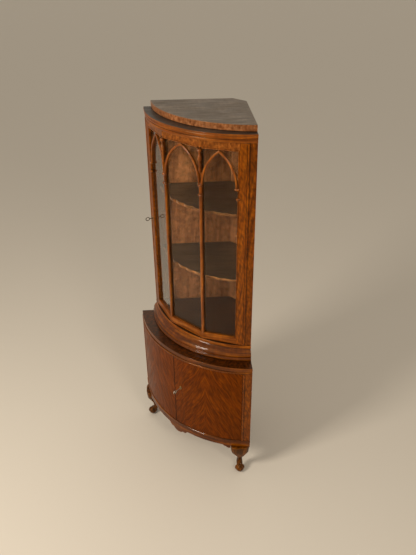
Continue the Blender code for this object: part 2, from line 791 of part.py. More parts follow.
def skirt_part():
    """The skirt follows the bow, with a lobed drop in the middle and an ear at each leg."""
    radius = LOWER_ARC[1]
    inner = grown(LOWER_ARC, -SKIRT_THICK)
    leg_start = radius * (LOWER_END - bow_leg_angle())
    ear_start = leg_start - EAR_LONG
    half = [share * DROP_HALF for share, _ in SKIRT_DROP_SHARES]
    half += spread(DROP_HALF, ear_start, SKIRT_PLAIN_STEPS)[1:]
    half += [ear_start + share * EAR_LONG for share, _ in SKIRT_EAR_SHARES[1:]]
    step = leg_start + JOINT_GAP
    half += [step] + spread(step, radius * LOWER_END, SKIRT_PLAIN_STEPS)[1:]
    places = [-distance for distance in reversed(half[1:])] + half
    rings = []
    for distance in places:
        share = distance / (radius * LOWER_END)
        low = SKIRT_LOW - skirt_drop(distance, leg_start)
        outer = bow_point(LOWER_ARC, share * LOWER_END)
        behind = bow_point(inner, share * bow_end(inner))
        high = SKIRT_LOW + SKIRT_TALL
        rings.append([(*outer, high), (*outer, low), (*behind, low), (*behind, high)])
    add_part("skirt", loft_mesh(rings), "mahogany")


def bow_leg_angle():
    """How much of the bow, from the wall, is taken by a leg."""
    return (LEG_DEPTH + KNEE_LEAN + KNEE_HALF + EAR_GAP) / LOWER_ARC[1]


def side_rail_parts():
    """Rails along the walls, under the lower case floor."""
    inner = grown(LOWER_ARC, -SKIRT_THICK)
    heights = (SKIRT_LOW, SKIRT_LOW + SKIRT_TALL)
    reach = bow_along(inner, RAIL_THICK) - JOINT_GAP
    for side, word in ((-1, "left"), (1, "right")):
        mesh = wall_frame(side).box((CHAMFER_LEG, reach), (0, RAIL_THICK), heights)
        add_part("side_rail_" + word, mesh, "carcass_wood")


def leg_ring(frame, height, half_wide, half_deep, swing, lean):
    """One level section of a leg: a squared oval, moved along the wall and away from it."""
    ring = []
    for step in range(LEG_SIDES):
        angle = math.tau * step / LEG_SIDES
        cosine = math.copysign(abs(math.cos(angle)) ** LEG_SQUARENESS, math.cos(angle))
        sine = math.copysign(abs(math.sin(angle)) ** LEG_SQUARENESS, math.sin(angle))
        ring.append(frame.place(half_deep * sine + swing, half_wide * cosine + lean, height))
    return ring


def ball_mesh(centre):
    """The ball of a foot, cut flat at the floor."""
    bm = bmesh.new()
    place = Matrix.Translation(centre) @ Matrix.Rotation(math.pi / BALL_SEGMENTS, 4, "Z")
    bmesh.ops.create_uvsphere(
        bm, u_segments=BALL_SEGMENTS, v_segments=BALL_RINGS, radius=BALL_RADIUS, matrix=place
    )
    geometry = bm.verts[:] + bm.edges[:] + bm.faces[:]
    down = (0, 0, -1)
    flat = bmesh.ops.bisect_plane(bm, geom=geometry, plane_co=(0, 0, 0), plane_no=down, clear_outer=True)
    rim = [item for item in flat["geom_cut"] if isinstance(item, bmesh.types.BMEdge)]
    bmesh.ops.contextual_create(bm, geom=rim)
    return finish_mesh(bm)


def claw_mesh(frame, turn):
    """A talon that runs from the ankle down round the ball."""
    reach = BALL_RADIUS + CLAW_PROUD
    angles = spread(math.radians(CLAW_START), math.radians(CLAW_END), CLAW_STEPS)
    points = []
    radii = []
    for step, angle in enumerate(angles):
        out = reach * math.sin(angle)
        height = BALL_RADIUS - BALL_SINK + reach * math.cos(angle)
        points.append(frame.place(out * math.cos(turn), out * math.sin(turn), height))
        radii.append(CLAW_RADIUS * (1 - (1 - CLAW_TIP_SHARE) * step / CLAW_STEPS))
    return tube_mesh(points, radii)


def front_leg(side, name):
    """A cabriole leg with a ball-and-claw foot and a block that rises behind the skirt."""
    frame = wall_frame(side, LOWER_WALL - LEG_SETBACK).moved(0, LEG_DEPTH)
    tall = LEG_TALL - JOINT_GAP
    sizes = (tall, KNEE_HALF, KNEE_DEEP_HALF, KNEE_SWING, KNEE_LEAN)
    rings = []
    for shares in LEG_SHARES:
        rings.append(leg_ring(frame, *[size * share for size, share in zip(sizes, shares)]))
    leg = add_part(name, loft_mesh(rings), "dark_mahogany")
    join(leg, ball_mesh(frame.place(0, 0, BALL_RADIUS - BALL_SINK)))
    for claw in range(CLAW_COUNT):
        join(leg, claw_mesh(frame, math.tau * claw / CLAW_COUNT))
    near = RAIL_THICK + JOINT_GAP
    reach = bow_along(grown(LOWER_ARC, -SKIRT_THICK), near + BLOCK_WIDE) - JOINT_GAP
    heights = (tall - BLOCK_ROOT, SKIRT_LOW + SKIRT_TALL)
    join(leg, wall_frame(side).box((reach - BLOCK_WIDE, reach), (near, near + BLOCK_WIDE), heights))


def rear_leg():
    """A tapered leg under the cut corner, with a block that fits between the side rails."""
    back = CHAMFER_LEG / DIAGONAL + REAR_LEG_SETBACK
    frame = Frame((0, -back - REAR_LEG_TOP / 2), (1, 0))
    rings = []
    for half, height in ((REAR_LEG_FOOT / 2, 0), (REAR_LEG_TOP / 2, SKIRT_LOW + BLOCK_ROOT)):
        corners = ((-half, -half), (half, -half), (half, half), (-half, half))
        rings.append([frame.place(along, depth, height) for along, depth in corners])
    leg = add_part("rear_leg", loft_mesh(rings), "dark_mahogany")
    inset = RAIL_THICK + JOINT_GAP
    outline = [chamfer_point(-1, inset), chamfer_point(1, inset), wall_point(1, REAR_BLOCK_REACH, inset)]
    outline.append(wall_point(-1, REAR_BLOCK_REACH, inset))
    join(leg, flat_mesh([outline], SKIRT_LOW, SKIRT_LOW + SKIRT_TALL))


def plate_box(frame, clearance, heights):
    alongs = (-PLATE_INSET - PLATE_LONG - clearance, -PLATE_INSET + clearance)
    depths = (PIVOT_DEPTH - PLATE_WIDE / 2 - clearance, PIVOT_DEPTH + PLATE_WIDE / 2 + clearance)
    return frame.box(alongs, depths, heights)


def pivot_plates(frame, low, high, door, door_part, board_below, board_above):
    """Pivot plates let into the foot and the head of a door, with pins that turn in the case.

    The frame stands on the door's hinge edge.
    """
    plates = []
    for word, level, up, board in (("bottom", low, -1, board_below), ("top", high, 1, board_above)):
        seat = level - up * PLATE_THICK
        plate = add_part(door + "_pivot_" + word, plate_box(frame, 0, sorted((seat, level))), "brass")
        face = level + up * DOOR_GAP
        pin_heights = sorted((level - up * PLATE_THICK / 2, face + up * PIN_REACH))
        join(plate, frame.post(-PIVOT_EDGE, PIVOT_DEPTH, pin_heights, PIN_RADIUS, PIN_SIDES))
        recess = sorted((seat - up * JOINT_GAP, level + up * OVERRUN / 2))
        cut(door_part, plate_box(frame, JOINT_GAP, recess))
        bore = sorted((face - up * OVERRUN, face + up * (PIN_REACH + JOINT_GAP)))
        cut(board, frame.post(-PIVOT_EDGE, PIVOT_DEPTH, bore, PIN_RADIUS + PIN_PLAY, PIN_SIDES))
        plates.append(plate)
    return plates


def pivot_empty(name, frame):
    """An empty on a hinge axis, at floor height."""
    empty = bpy.data.objects.new(name, None)
    empty.location = (*frame.plan(-PIVOT_EDGE, PIVOT_DEPTH), 0)
    empty.parent = ROOT
    PARTS.objects.link(empty)
    return empty


def carry(parent, place, *parts):
    """Hang parts on an empty, keeping where they are."""
    for part in parts:
        part.parent = parent
        part.location = -Vector(place)


def section_ring(frame, corner, mitre, section):
    """A section of (out, depth) at one corner of its path on a facet."""
    across, up = corner
    shift, rise = mitre
    return [frame.place(across + shift * out, depth, up + rise * out) for out, depth in section]


def mitres(path, closed):
    """At each point of a path, the step that moves both neighbouring runs one unit to the left."""
    steps = []
    count = len(path)
    for i, point in enumerate(path):
        before = Vector(point) - Vector(path[i - 1]) if closed or i > 0 else None
        after = Vector(path[(i + 1) % count]) - Vector(point) if closed or i < count - 1 else None
        first = (before or after).normalized()
        second = (after or before).normalized()
        left = Vector((-first.y, first.x)) + Vector((-second.y, second.x))
        steps.append(left / (1 + first.dot(second)))
    return steps


def path_mesh(frame, path, section, closed=False):
    """Run a section of (out, depth) along a path of (along, height) on a facet."""
    rings = []
    for corner, mitre in zip(path, mitres(path, closed)):
        rings.append(section_ring(frame, corner, mitre, section))
    return loft_mesh(rings, closed)


def fold_reach(depth, half):
    """Where the side of a bar on the fold lies along a facet, at a depth."""
    return depth * MITRE + half / math.cos(FACET_BEND / 2)


def fold_depth(depth, half):
    """The depth, square to the fold, where the side of a bar on it meets a depth on the facets."""
    return (depth + half * math.sin(FACET_BEND / 2)) / math.cos(FACET_BEND / 2)


PANE_START = fold_reach(GLASS_DEPTH + GLASS_THICK, TONGUE_HALF) + JOINT_GAP
BEAD_START = fold_reach(GLASS_DEPTH, MUNTIN_HALF) + JOINT_GAP
FILLET_START = fold_reach(GLASS_DEPTH + GLASS_THICK + FILLET_DEEP, TONGUE_HALF) + 2 * JOINT_GAP


def pane_box(side, start, end):
    """The limits along a facet of what lies in its pane."""
    if side == 0:
        return (start - FACET_HALF, FACET_HALF - start)
    return (start, end)


def pane_part(side, name):
    alongs = pane_box(side, PANE_START, STILE_INNER - JOINT_GAP)
    depths = (GLASS_DEPTH, GLASS_DEPTH + GLASS_THICK)
    heights = (PANE_LOW + JOINT_GAP, PANE_HIGH - JOINT_GAP)
    return add_part(name, facet(side).box(alongs, depths, heights), "glass")


def sash_bead(frame, start, end, start_mitre=0, end_mitre=0):
    """A moulding worked on the edge of a frame member, on the left of its run.

    A mitre of 1 slopes that end back at 45 degrees, and 0 leaves it square.
    """
    run = (Vector(end) - Vector(start)).normalized()
    left = Vector((-run.y, run.x))
    rise = SASH_QUIRK + SASH_BEAD_PROUD
    section = [(-BITE, GLASS_DEPTH - JOINT_GAP), (-BITE, SASH_QUIRK)]
    section += [(SASH_BEAD_WIDE * out, SASH_QUIRK - rise * share) for out, share in SASH_BEAD_SHARES]
    section.append((SASH_BEAD_WIDE, GLASS_DEPTH - JOINT_GAP))
    rings = []
    for point, slope in ((start, start_mitre), (end, -end_mitre)):
        ring = []
        for out, depth in section:
            place = Vector(point) + left * out + run * max(out, 0) * slope
            ring.append(frame.place(place.x, depth, place.y))
        rings.append(ring)
    return loft_mesh(rings)


def fillet_part(side, name):
    """A closed frame of square slips that holds a pane from inside."""
    front = GLASS_DEPTH + GLASS_THICK + JOINT_GAP
    back = front + FILLET_DEEP
    section = [(0, front), (FILLET_WIDE, front), (FILLET_WIDE, (front + back) / 2)]
    section += [(FILLET_WIDE / 2, back), (0, back)]
    left, right = pane_box(side, FILLET_START, STILE_INNER - JOINT_GAP)
    low = PANE_LOW + JOINT_GAP
    high = PANE_HIGH - JOINT_GAP
    path = [(left, low), (right, low), (right, high), (left, high)]
    return add_part(name, path_mesh(facet(side), path, section, closed=True), "carcass_wood")


def arch_path(start, end, spring, apex):
    """A pointed arch: two arcs that stand upright at the spring and meet at the apex."""
    half = (end - start) / 2
    rise = apex - spring
    radius = (half ** 2 + rise ** 2) / (2 * half)
    sweep = math.asin(rise / radius)
    path = []
    for angle in spread(0, sweep, ARCH_STEPS):
        path.append((end - radius + radius * math.cos(angle), spring + radius * math.sin(angle)))
    mirror = start + end
    path += [(mirror - along, height) for along, height in reversed(path[:-1])]
    return path


def tracery_part():
    """One pointed arch in front of each pane, joined at the folds where their feet meet."""
    half = ARCH_BAR_HALF
    back = GLASS_DEPTH - JOINT_GAP
    front = -ARCH_BAR_PROUD
    shoulder = front + half * ARCH_SLOPE_SHARE
    crown = half * ARCH_CROWN_SHARE
    left = [(-half, back), (-half, shoulder), (-crown, front)]
    section = left + [(crown, front), (half, shoulder), (half, back)]
    top = PANE_HIGH - SASH_BEAD_WIDE - 2 * JOINT_GAP
    spring = ARCH_SPRING + JOINT_GAP
    inset = fold_reach(back, half) + JOINT_GAP
    end = STILE_INNER - SASH_BEAD_WIDE - half - 2 * JOINT_GAP
    meshes = []
    for side in (0, -1, 1):
        left, right = pane_box(side, inset, end)
        sweep = 2 * math.atan2((right - left) / 2, top - spring)
        apex = top - half / math.sin(sweep)
        meshes.append(path_mesh(facet(side), arch_path(left, right, spring, apex), section))
    tracery = add_part("tracery", meshes[0], "mahogany")
    join(tracery, *meshes[1:])
    for side in (-1, 1):
        heights = (spring, spring + 2 * half)
        join(tracery, fold(side).box((-inset, inset), (shoulder + BITE, back - BITE), heights))
    return tracery


def muntin_ring(frame, half, flank, proud, back, root, height):
    """A section of a bar: a rounded face, and a root of (half width, depth) behind it."""
    points = [(half, back)]
    for turn in spread(0, math.pi, BEAD_STEPS):
        points.append((half * math.cos(turn), flank - proud * math.sin(turn)))
    points += [(-half, back), (-root[0], back), (-root[0], root[1]), (root[0], root[1]), (root[0], back)]
    return [frame.place(along, depth, height) for along, depth in points]


def muntin_part(side, name):
    """An upright bar: a round face with two collars, and a tongue that ends in a carved drop."""
    frame = fold(side)
    low = PANE_LOW + JOINT_GAP
    top = PANE_HIGH - JOINT_GAP
    back = GLASS_DEPTH - JOINT_GAP
    rows = [(low, 0)]
    for high in (ARCH_SPRING - CAPITAL_DROP + CAPITAL_TALL, ARCH_SPRING):
        foot = high - CAPITAL_TALL
        rows += [(foot, 0), (foot + JOINT_GAP, 1), (high - JOINT_GAP, 1), (high, 0)]
    rings = []
    for height, collar in rows:
        extra = CAPITAL_THICK * collar
        root = (TONGUE_HALF - BITE, back + 2 * BITE)
        proud = MUNTIN_PROUD + extra
        rings.append(muntin_ring(frame, MUNTIN_HALF + extra, MUNTIN_PROUD, proud, back, root, height))
    muntin = add_part(name, loft_mesh(rings), "mahogany")
    half = TONGUE_HALF + JOINT_GAP
    back = fold_depth(GLASS_DEPTH - JOINT_GAP, half) + 3 * JOINT_GAP
    root = (TONGUE_HALF, DOOR_THICK - JOINT_GAP)
    drop_low = top - DROP_TALL
    rings = []
    for height in (low + JOINT_GAP, drop_low):
        rings.append(muntin_ring(frame, half, back - JOINT_GAP, JOINT_GAP / 2, back, root, height))
    back = fold_depth(GLASS_DEPTH - JOINT_GAP, TONGUE_HALF)
    for wide, tall in DROP_SHARES:
        wide = half + (DROP_RADIUS - half) * wide
        rings.append(muntin_ring(frame, wide, DROP_RADIUS, wide, back, root, drop_low + DROP_TALL * tall))
    join(muntin, loft_mesh(rings))
    return muntin


def stile_part(side, name):
    """A stile with its moulding and the half collar that carries the foot of an arch."""
    frame = facet(side)
    board = frame.box((STILE_INNER, DOOR_EDGE), (0, DOOR_THICK), (DOOR_LOW, DOOR_HIGH))
    stile = add_part(name, board, "mahogany")
    join(stile, sash_bead(frame, (STILE_INNER, PANE_LOW), (STILE_INNER, PANE_HIGH), 1, 1))
    wide = SASH_BEAD_WIDE + 2 * ARCH_BAR_HALF + CAPITAL_THICK
    depths = (-SASH_BEAD_PROUD - CAPITAL_THICK / 2, GLASS_DEPTH - JOINT_GAP)
    for high in (ARCH_SPRING, ARCH_SPRING - CAPITAL_DROP + CAPITAL_TALL):
        collar = frame.box((STILE_INNER - wide, STILE_INNER + BITE), depths, (high - CAPITAL_TALL, high))
        wide = SASH_BEAD_WIDE + CAPITAL_THICK
        join(stile, collar)
    return stile


def rail_mesh(low, high):
    """A rail that folds with the facets, between the two stiles."""
    reach = STILE_INNER - JOINT_GAP
    right = facet(1)
    left = facet(-1)
    corner = fold(1)
    deep = DOOR_THICK / math.cos(FACET_BEND / 2)
    outline = [left.plan(reach, 0), left.plan(0, 0), right.plan(0, 0), right.plan(reach, 0)]
    outline += [right.plan(reach, DOOR_THICK), corner.plan(0, deep), fold(-1).plan(0, deep)]
    outline.append(left.plan(reach, DOOR_THICK))
    return flat_mesh([outline], low, high)


def rail_part(name, low, high, pane_edge):
    """A rail with its moulding worked along the edge beside the panes."""
    rail = add_part(name, rail_mesh(low, high), "mahogany")
    reach = STILE_INNER - JOINT_GAP
    middle = FACET_HALF - BEAD_START
    upward = pane_edge == high
    for side in (-1, 1):
        near = (BEAD_START, pane_edge)
        far = (reach, pane_edge)
        bead = sash_bead(facet(side), near, far, 0, 1) if upward else sash_bead(facet(side), far, near, 1, 0)
        join(rail, bead)
    left = (-middle, pane_edge)
    right = (middle, pane_edge)
    join(rail, sash_bead(facet(0), left, right) if upward else sash_bead(facet(0), right, left))
    return rail


def upper_door_parts(cornice, floor):
    """The glazed door: frame, muntins, panes, fillets, tracery and pivots. Returns its parts."""
    hinge_stile = stile_part(1, "upper_door_stile_right")
    lock_stile = stile_part(-1, "upper_door_stile_left")
    parts = [hinge_stile, lock_stile]
    parts.append(rail_part("upper_door_bottom_rail", DOOR_LOW, PANE_LOW, PANE_LOW))
    parts.append(rail_part("upper_door_top_rail", PANE_HIGH, DOOR_HIGH, PANE_HIGH))
    for side, word in ((-1, "left"), (1, "right")):
        parts.append(muntin_part(side, "muntin_" + word))
    for side, word in ((-1, "left"), (0, "centre"), (1, "right")):
        parts.append(pane_part(side, "glass_" + word))
        parts.append(fillet_part(side, "glazing_fillet_" + word))
    parts.append(tracery_part())
    hinge_frame = facet(1).moved(DOOR_EDGE)
    parts += pivot_plates(hinge_frame, DOOR_LOW, DOOR_HIGH, "upper_door", hinge_stile, floor, cornice)
    return parts, lock_stile, hinge_frame


def key_mesh(frame, height, face_depth, tip_depth, stem_long):
    """A key: stem, bit hanging down at the inner end, and an oval bow outside."""
    outer = face_depth - stem_long
    stem = frame.bar(0, height, (outer, tip_depth), KEY_RADIUS, KEY_SIDES)
    bit = frame.box(
        (-KEY_BIT_THICK / 2, KEY_BIT_THICK / 2), (tip_depth - KEY_BIT_LONG, tip_depth - JOINT_GAP),
        (height - KEY_BIT_REACH, height),
    )
    centre = outer - KEY_BOW_WIDE / 2 + KEY_BOW_WIRE
    points = []
    for step in range(KEY_SIDES):
        turn = math.tau * step / KEY_SIDES
        depth = centre + (KEY_BOW_WIDE / 2 - KEY_BOW_WIRE) * math.cos(turn)
        points.append(frame.place(0, depth, height + (KEY_BOW_TALL / 2 - KEY_BOW_WIRE) * math.sin(turn)))
    loop = tube_mesh(points, [KEY_BOW_WIRE] * KEY_SIDES, closed=True)
    return stem, bit, loop


def keyhole_meshes(frame, height, depths):
    """A round hole for the stem and a slot under it for the bit."""
    slot = KEY_BIT_THICK / 2 + JOINT_GAP
    low = height - KEY_BIT_REACH - JOINT_GAP
    hole = frame.bar(0, height, depths, KEY_HOLE_RADIUS, KEY_SIDES)
    return [hole, frame.box((-slot, slot), depths, (low, height))]


def lock_parts(name, door, frame, height, inset, thick, stem_long):
    """A lock let into the back of a door, with its key, bolt and keyhole plate.

    The frame's origin is the key's axis on the door's face, and across points at the door's edge.
    """
    edge = inset - LOCK_EDGE
    far = -LOCK_BEHIND
    back = thick - LOCK_COVER
    front = back - LOCK_DEEP
    heights = (height - LOCK_TALL / 2, height + LOCK_TALL / 2)
    case = add_part(name + "_lock_case", frame.box((far, edge), (front, back), heights), "brass")
    inside = [(far + LOCK_WALL, edge - LOCK_WALL), (front + LOCK_WALL, back - LOCK_WALL)]
    cut(case, frame.box(*inside, (heights[0] + LOCK_WALL, heights[1] - LOCK_WALL)))
    hole = (front - OVERRUN, front + LOCK_WALL + JOINT_GAP)
    cut(case, frame.bar(0, height, hole, KEY_HOLE_RADIUS, KEY_SIDES))
    middle = (front + back) / 2
    bolt_depths = (middle - BOLT_THICK / 2, middle + BOLT_THICK / 2)
    bolt_heights = (height + BOLT_RISE, height + BOLT_RISE + BOLT_TALL)
    bolt = add_part(name + "_bolt", frame.box((-BOLT_BEHIND, inset), bolt_depths, bolt_heights), "brass")

    def bolt_way(alongs):
        depths = (bolt_depths[0] - LOCK_PLAY, bolt_depths[1] + LOCK_PLAY)
        return frame.box(alongs, depths, (bolt_heights[0] - LOCK_PLAY, bolt_heights[1] + LOCK_PLAY))

    cut(case, bolt_way((edge - LOCK_WALL - JOINT_GAP, inset + OVERRUN)))
    gap = JOINT_GAP
    pocket = ((far - gap, edge + gap), (front - gap, thick + OVERRUN), (heights[0] - gap, heights[1] + gap))
    cut(door, frame.box(*pocket), bolt_way((edge - OVERRUN, inset + OVERRUN)))
    cut(door, *keyhole_meshes(frame, height, (-OVERRUN, front + OVERRUN / 2)))
    plate_depths = (KEY_STEM_START, -JOINT_GAP)
    plate = add_part(name + "_escutcheon", escutcheon_mesh(frame, height, plate_depths), "brass")
    cut(plate, *keyhole_meshes(frame, height, (plate_depths[0] - OVERRUN, OVERRUN)))
    tip = back - LOCK_WALL - JOINT_GAP
    stem, bit, loop = key_mesh(frame, height, plate_depths[0], tip, stem_long)
    key = add_part(name + "_key", stem, "steel")
    join(key, bit, loop)
    return [case, plate, bolt], key, bolt_way


KEY_STEM_START = -JOINT_GAP - ESCUTCHEON_THICK


def escutcheon_mesh(frame, height, depths):
    """An oval plate on the door's face."""
    rings = []
    for depth in depths:
        ring = []
        for step in range(ESCUTCHEON_STEPS):
            turn = math.tau * step / ESCUTCHEON_STEPS
            along = ESCUTCHEON_WIDE / 2 * math.cos(turn)
            ring.append(frame.place(along, depth, height + ESCUTCHEON_TALL / 2 * math.sin(turn)))
        rings.append(ring)
    return loft_mesh(rings)


def lower_door_mesh(side):
    """A bowed door between its meeting edge, which lies left of the middle, and its hinge edge."""
    inner = grown(LOWER_ARC, -LOWER_DOOR_THICK)
    rings = []
    for angle in spread(MEETING_ANGLE - side * SEAM_ANGLE, LOWER_DOOR_ANGLE, LOWER_DOOR_STEPS):
        outer_point = bow_point(LOWER_ARC, side * angle)
        inner_point = bow_point(inner, side * angle)
        low = [(*outer_point, LOWER_DOOR_LOW), (*inner_point, LOWER_DOOR_LOW)]
        high = [(*inner_point, LOWER_DOOR_HIGH), (*outer_point, LOWER_DOOR_HIGH)]
        rings.append(low + high)
    return loft_mesh(rings)


def slip_bolt(door_top, board, frame):
    """A slip bolt on the back of a door: a case with a channel, and a bar that slides up."""
    seat = LOWER_DOOR_THICK + JOINT_GAP
    heights = (door_top - JOINT_GAP - SLIP_CASE_TALL, door_top - JOINT_GAP)
    half = SLIP_CASE_WIDE / 2
    case_mesh = frame.box((-half, half), (seat, seat + SLIP_CASE_DEEP), heights)
    case = add_part("slip_bolt_case", case_mesh, "brass")
    bar_half = SLIP_BAR_WIDE / 2
    near = seat + SLIP_WALL
    bar_depths = (near + SLIP_PLAY, near + SLIP_PLAY + SLIP_BAR_THICK)
    way = ((-bar_half - SLIP_PLAY, bar_half + SLIP_PLAY), (near, bar_depths[1] + SLIP_PLAY))
    cut(case, frame.box(*way, (heights[0] - OVERRUN, heights[1] + OVERRUN)))
    middle = sum(heights) / 2
    window = (middle - SLIP_WINDOW_TALL / 2, middle + SLIP_WINDOW_TALL / 2)
    cut(case, frame.box(way[0], (near + SLIP_PLAY, seat + SLIP_CASE_DEEP + OVERRUN), window))
    slider = add_part("slip_bolt", frame.box((-bar_half, bar_half), bar_depths, heights), "brass")
    knob_depths = (bar_depths[0] + SLIP_PLAY, bar_depths[1] + SLIP_KNOB_LONG)
    knob_radius = bar_half * SLIP_KNOB_SHARE
    join(slider, frame.bar(0, middle - SLIP_THROW / 2, knob_depths, knob_radius, KEY_SIDES))
    socket = (door_top - OVERRUN / 2, door_top + DOOR_GAP + SLIP_THROW)
    cut(board, frame.box(*way, socket))
    return case, slider


def lower_door_parts(case_top, case_floor):
    """Two bowed doors with their pivots, as (parts, hinge frame) by side."""
    result = {}
    for side, word in ((1, "right"), (-1, "left")):
        name = "lower_door_" + word
        door = add_part(name, lower_door_mesh(side), "mahogany")
        frame = bow_frame(LOWER_ARC, side * LOWER_DOOR_ANGLE, side)
        plates = pivot_plates(frame, LOWER_DOOR_LOW, LOWER_DOOR_HIGH, name, door, case_floor, case_top)
        result[word] = ([door, *plates], frame)
    return result


def door_stop(name, frame, thick, high):
    """A small block that stops a door when it shuts."""
    depths = (thick + STOP_GAP, thick + STOP_GAP + STOP_DEEP)
    mesh = frame.box((-STOP_WIDE / 2, STOP_WIDE / 2), depths, (high - STOP_TALL, high))
    add_part(name, mesh, "carcass_wood")


def key_pivot(name, frame, height, door_pivot, key):
    """An empty on a key's axis, carried by the door, that carries the key."""
    empty = bpy.data.objects.new(name, None)
    place = Vector(frame.place(0, 0, height))
    empty.parent = door_pivot
    empty.location = place - door_pivot.location
    PARTS.objects.link(empty)
    carry(empty, place, key)


def build():
    """Build every sub-part, from the floor up."""
    side_rail_parts()
    skirt_part()
    front_leg(-1, "front_leg_left")
    front_leg(1, "front_leg_right")
    rear_leg()
    floor_arc = grown(LOWER_ARC, FLOOR_BEAD_PROUD)
    heights = (LOWER_FLOOR_LOW, LOWER_FLOOR_HIGH)
    nose = LOWER_FLOOR_THICK * NOSE_SHARE
    case_floor = bowed_board("lower_case_floor", floor_arc, heights, nose, 3, "mahogany")
    lower_boards = back_boards("lower", LOWER_WALL, LOWER_POST_LOW, LOWER_POST_HIGH)
    top_arc = bow(LOWER_FRONT + TOP_BEAD_PROUD, LOWER_WALL + TOP_BEAD_END_PROUD)
    heights = (LOWER_TOP_LOW, LOWER_TOP_HIGH)
    nose = LOWER_TOP_THICK * NOSE_SHARE
    case_top = bowed_board("lower_case_top", top_arc, heights, nose, 3, "mahogany")
    base_arc = bow(LOWER_FRONT + BASE_TOP_PROUD, LOWER_WALL)
    bowed_board("base_top", base_arc, (BASE_TOP_LOW, BASE_TOP_HIGH), EDGE_ROUND, 2, "mahogany")
    waist_part()
    lip_arc = bow(LIP_FRONT, LIP_WALL)
    nose = UPPER_FLOOR_THICK * LIP_SHARE
    inset = BOARD_THICK + JOINT_GAP
    shoulder = UPPER_WALL - POST_DEEP
    heights = (UPPER_FLOOR_LOW, UPPER_FLOOR_HIGH)
    upper_floor = bowed_board("upper_case_floor", lip_arc, heights, nose, 3, "mahogany", inset, shoulder)
    upper_boards = back_boards("upper", UPPER_WALL, WAIST_LOW, CORNICE_HIGH)
    notch_start = bow_along((0, CORNICE_REACH - CORNICE_WIDE - JOINT_GAP), BOARD_THICK)
    notch_heights = (UPPER_POST_HIGH, CORNICE_HIGH + OVERRUN)
    notch_depths = (-OVERRUN, BOARD_THICK + OVERRUN)
    for side, board in zip((-1, 1), upper_boards[1:]):
        cut(board, wall_frame(side).box((notch_start, UPPER_WALL), notch_depths, notch_heights))
    for side, word in ((1, "right"), (-1, "left")):
        lock_post = add_part("upper_post_" + word, upper_post(side), "mahogany")
        add_part("lower_post_" + word, lower_post(side), "mahogany")
    top_parts()
    shelf_parts(upper_boards, lower_boards)
    door_stop("upper_door_stop", facet(0), DOOR_THICK, UPPER_POST_HIGH)
    seam_frame = bow_frame(LOWER_ARC, -SEAM_ANGLE, 1)
    door_stop("lower_door_stop", seam_frame, LOWER_DOOR_THICK, LOWER_POST_HIGH)

    # Upper door with its lock
    parts, lock_stile, hinge_frame = upper_door_parts(PARTS.objects["cornice"], upper_floor)
    key_frame = facet(-1).moved(DOOR_EDGE - UPPER_KEY_INSET)
    fittings, key, bolt_way = lock_parts(
        "upper", lock_stile, key_frame, UPPER_KEY_HIGH, UPPER_KEY_INSET, DOOR_THICK, UPPER_KEY_STEM
    )
    cut(lock_post, bolt_way((UPPER_KEY_INSET, UPPER_KEY_INSET + DOOR_SIDE_GAP + BOLT_THROW)))
    door_pivot = pivot_empty("upper_door_pivot", hinge_frame)
    carry(door_pivot, door_pivot.location, *parts, *fittings)
    key_pivot("upper_key_pivot", key_frame, UPPER_KEY_HIGH, door_pivot, key)

    # Lower doors, the lock on the right one and the slip bolt on the left one
    doors = lower_door_parts(case_top, case_floor)
    right_parts, right_frame = doors["right"]
    left_parts, left_frame = doors["left"]
    key_angle = (MEETING_GAP / 2 + LOWER_KEY_INSET) / LOWER_ARC[1] - SEAM_ANGLE
    key_frame = bow_frame(LOWER_ARC, key_angle, -1)
    fittings, key, bolt_way = lock_parts(
        "lower", right_parts[0], key_frame, LOWER_KEY_HIGH, LOWER_KEY_INSET, LOWER_DOOR_THICK, LOWER_KEY_STEM
    )
    cut(left_parts[0], bolt_way((LOWER_KEY_INSET, LOWER_KEY_INSET + MEETING_GAP + BOLT_THROW)))
    right_pivot = pivot_empty("lower_door_right_pivot", right_frame)
    carry(right_pivot, right_pivot.location, *right_parts, *fittings)
    key_pivot("lower_key_pivot", key_frame, LOWER_KEY_HIGH, right_pivot, key)
    left_pivot = pivot_empty("lower_door_left_pivot", left_frame)
    slip_angle = (MEETING_GAP / 2 + SLIP_INSET) / LOWER_ARC[1] + SEAM_ANGLE
    slip_frame = bow_frame(LOWER_ARC, -slip_angle, -1)
    slip_parts = slip_bolt(LOWER_DOOR_HIGH, case_top, slip_frame)
    carry(left_pivot, left_pivot.location, *left_parts, *slip_parts)

    # The frame's origin is the middle of the footprint, from the cut corner to the lower key
    back = -CHAMFER_LEG / DIAGONAL
    front = key_frame.plan(0, KEY_STEM_START - LOWER_KEY_STEM - KEY_BOW_WIDE + KEY_BOW_WIRE)[1]
    ROOT.location.y = -(back + front) / 2


build()
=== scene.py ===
"""Looks of the bow-fronted corner cabinet: camera, soft studio light, and procedural surfaces."""
import math

import bmesh
import bpy
from mathutils import Matrix, Vector


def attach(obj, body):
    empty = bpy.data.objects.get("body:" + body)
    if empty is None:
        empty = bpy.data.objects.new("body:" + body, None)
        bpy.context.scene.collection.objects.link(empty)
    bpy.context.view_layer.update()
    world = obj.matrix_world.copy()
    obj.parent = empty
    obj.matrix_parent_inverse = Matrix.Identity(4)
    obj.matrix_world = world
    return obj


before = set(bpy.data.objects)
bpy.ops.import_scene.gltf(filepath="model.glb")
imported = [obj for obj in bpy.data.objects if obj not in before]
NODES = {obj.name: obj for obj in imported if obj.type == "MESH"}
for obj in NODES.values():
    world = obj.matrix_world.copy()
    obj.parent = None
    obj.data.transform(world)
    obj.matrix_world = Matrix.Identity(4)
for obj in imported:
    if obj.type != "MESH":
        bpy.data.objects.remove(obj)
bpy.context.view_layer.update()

# Camera, as fitted to the photograph: its place in metres, its sensor and lens in millimetres, and
# how far it turns, looks down and rolls, in degrees
CAMERA_PLACE = (1.6151, -1.765172, 2.4457)
CAMERA_SENSOR = 36
CAMERA_LENS = 37.833
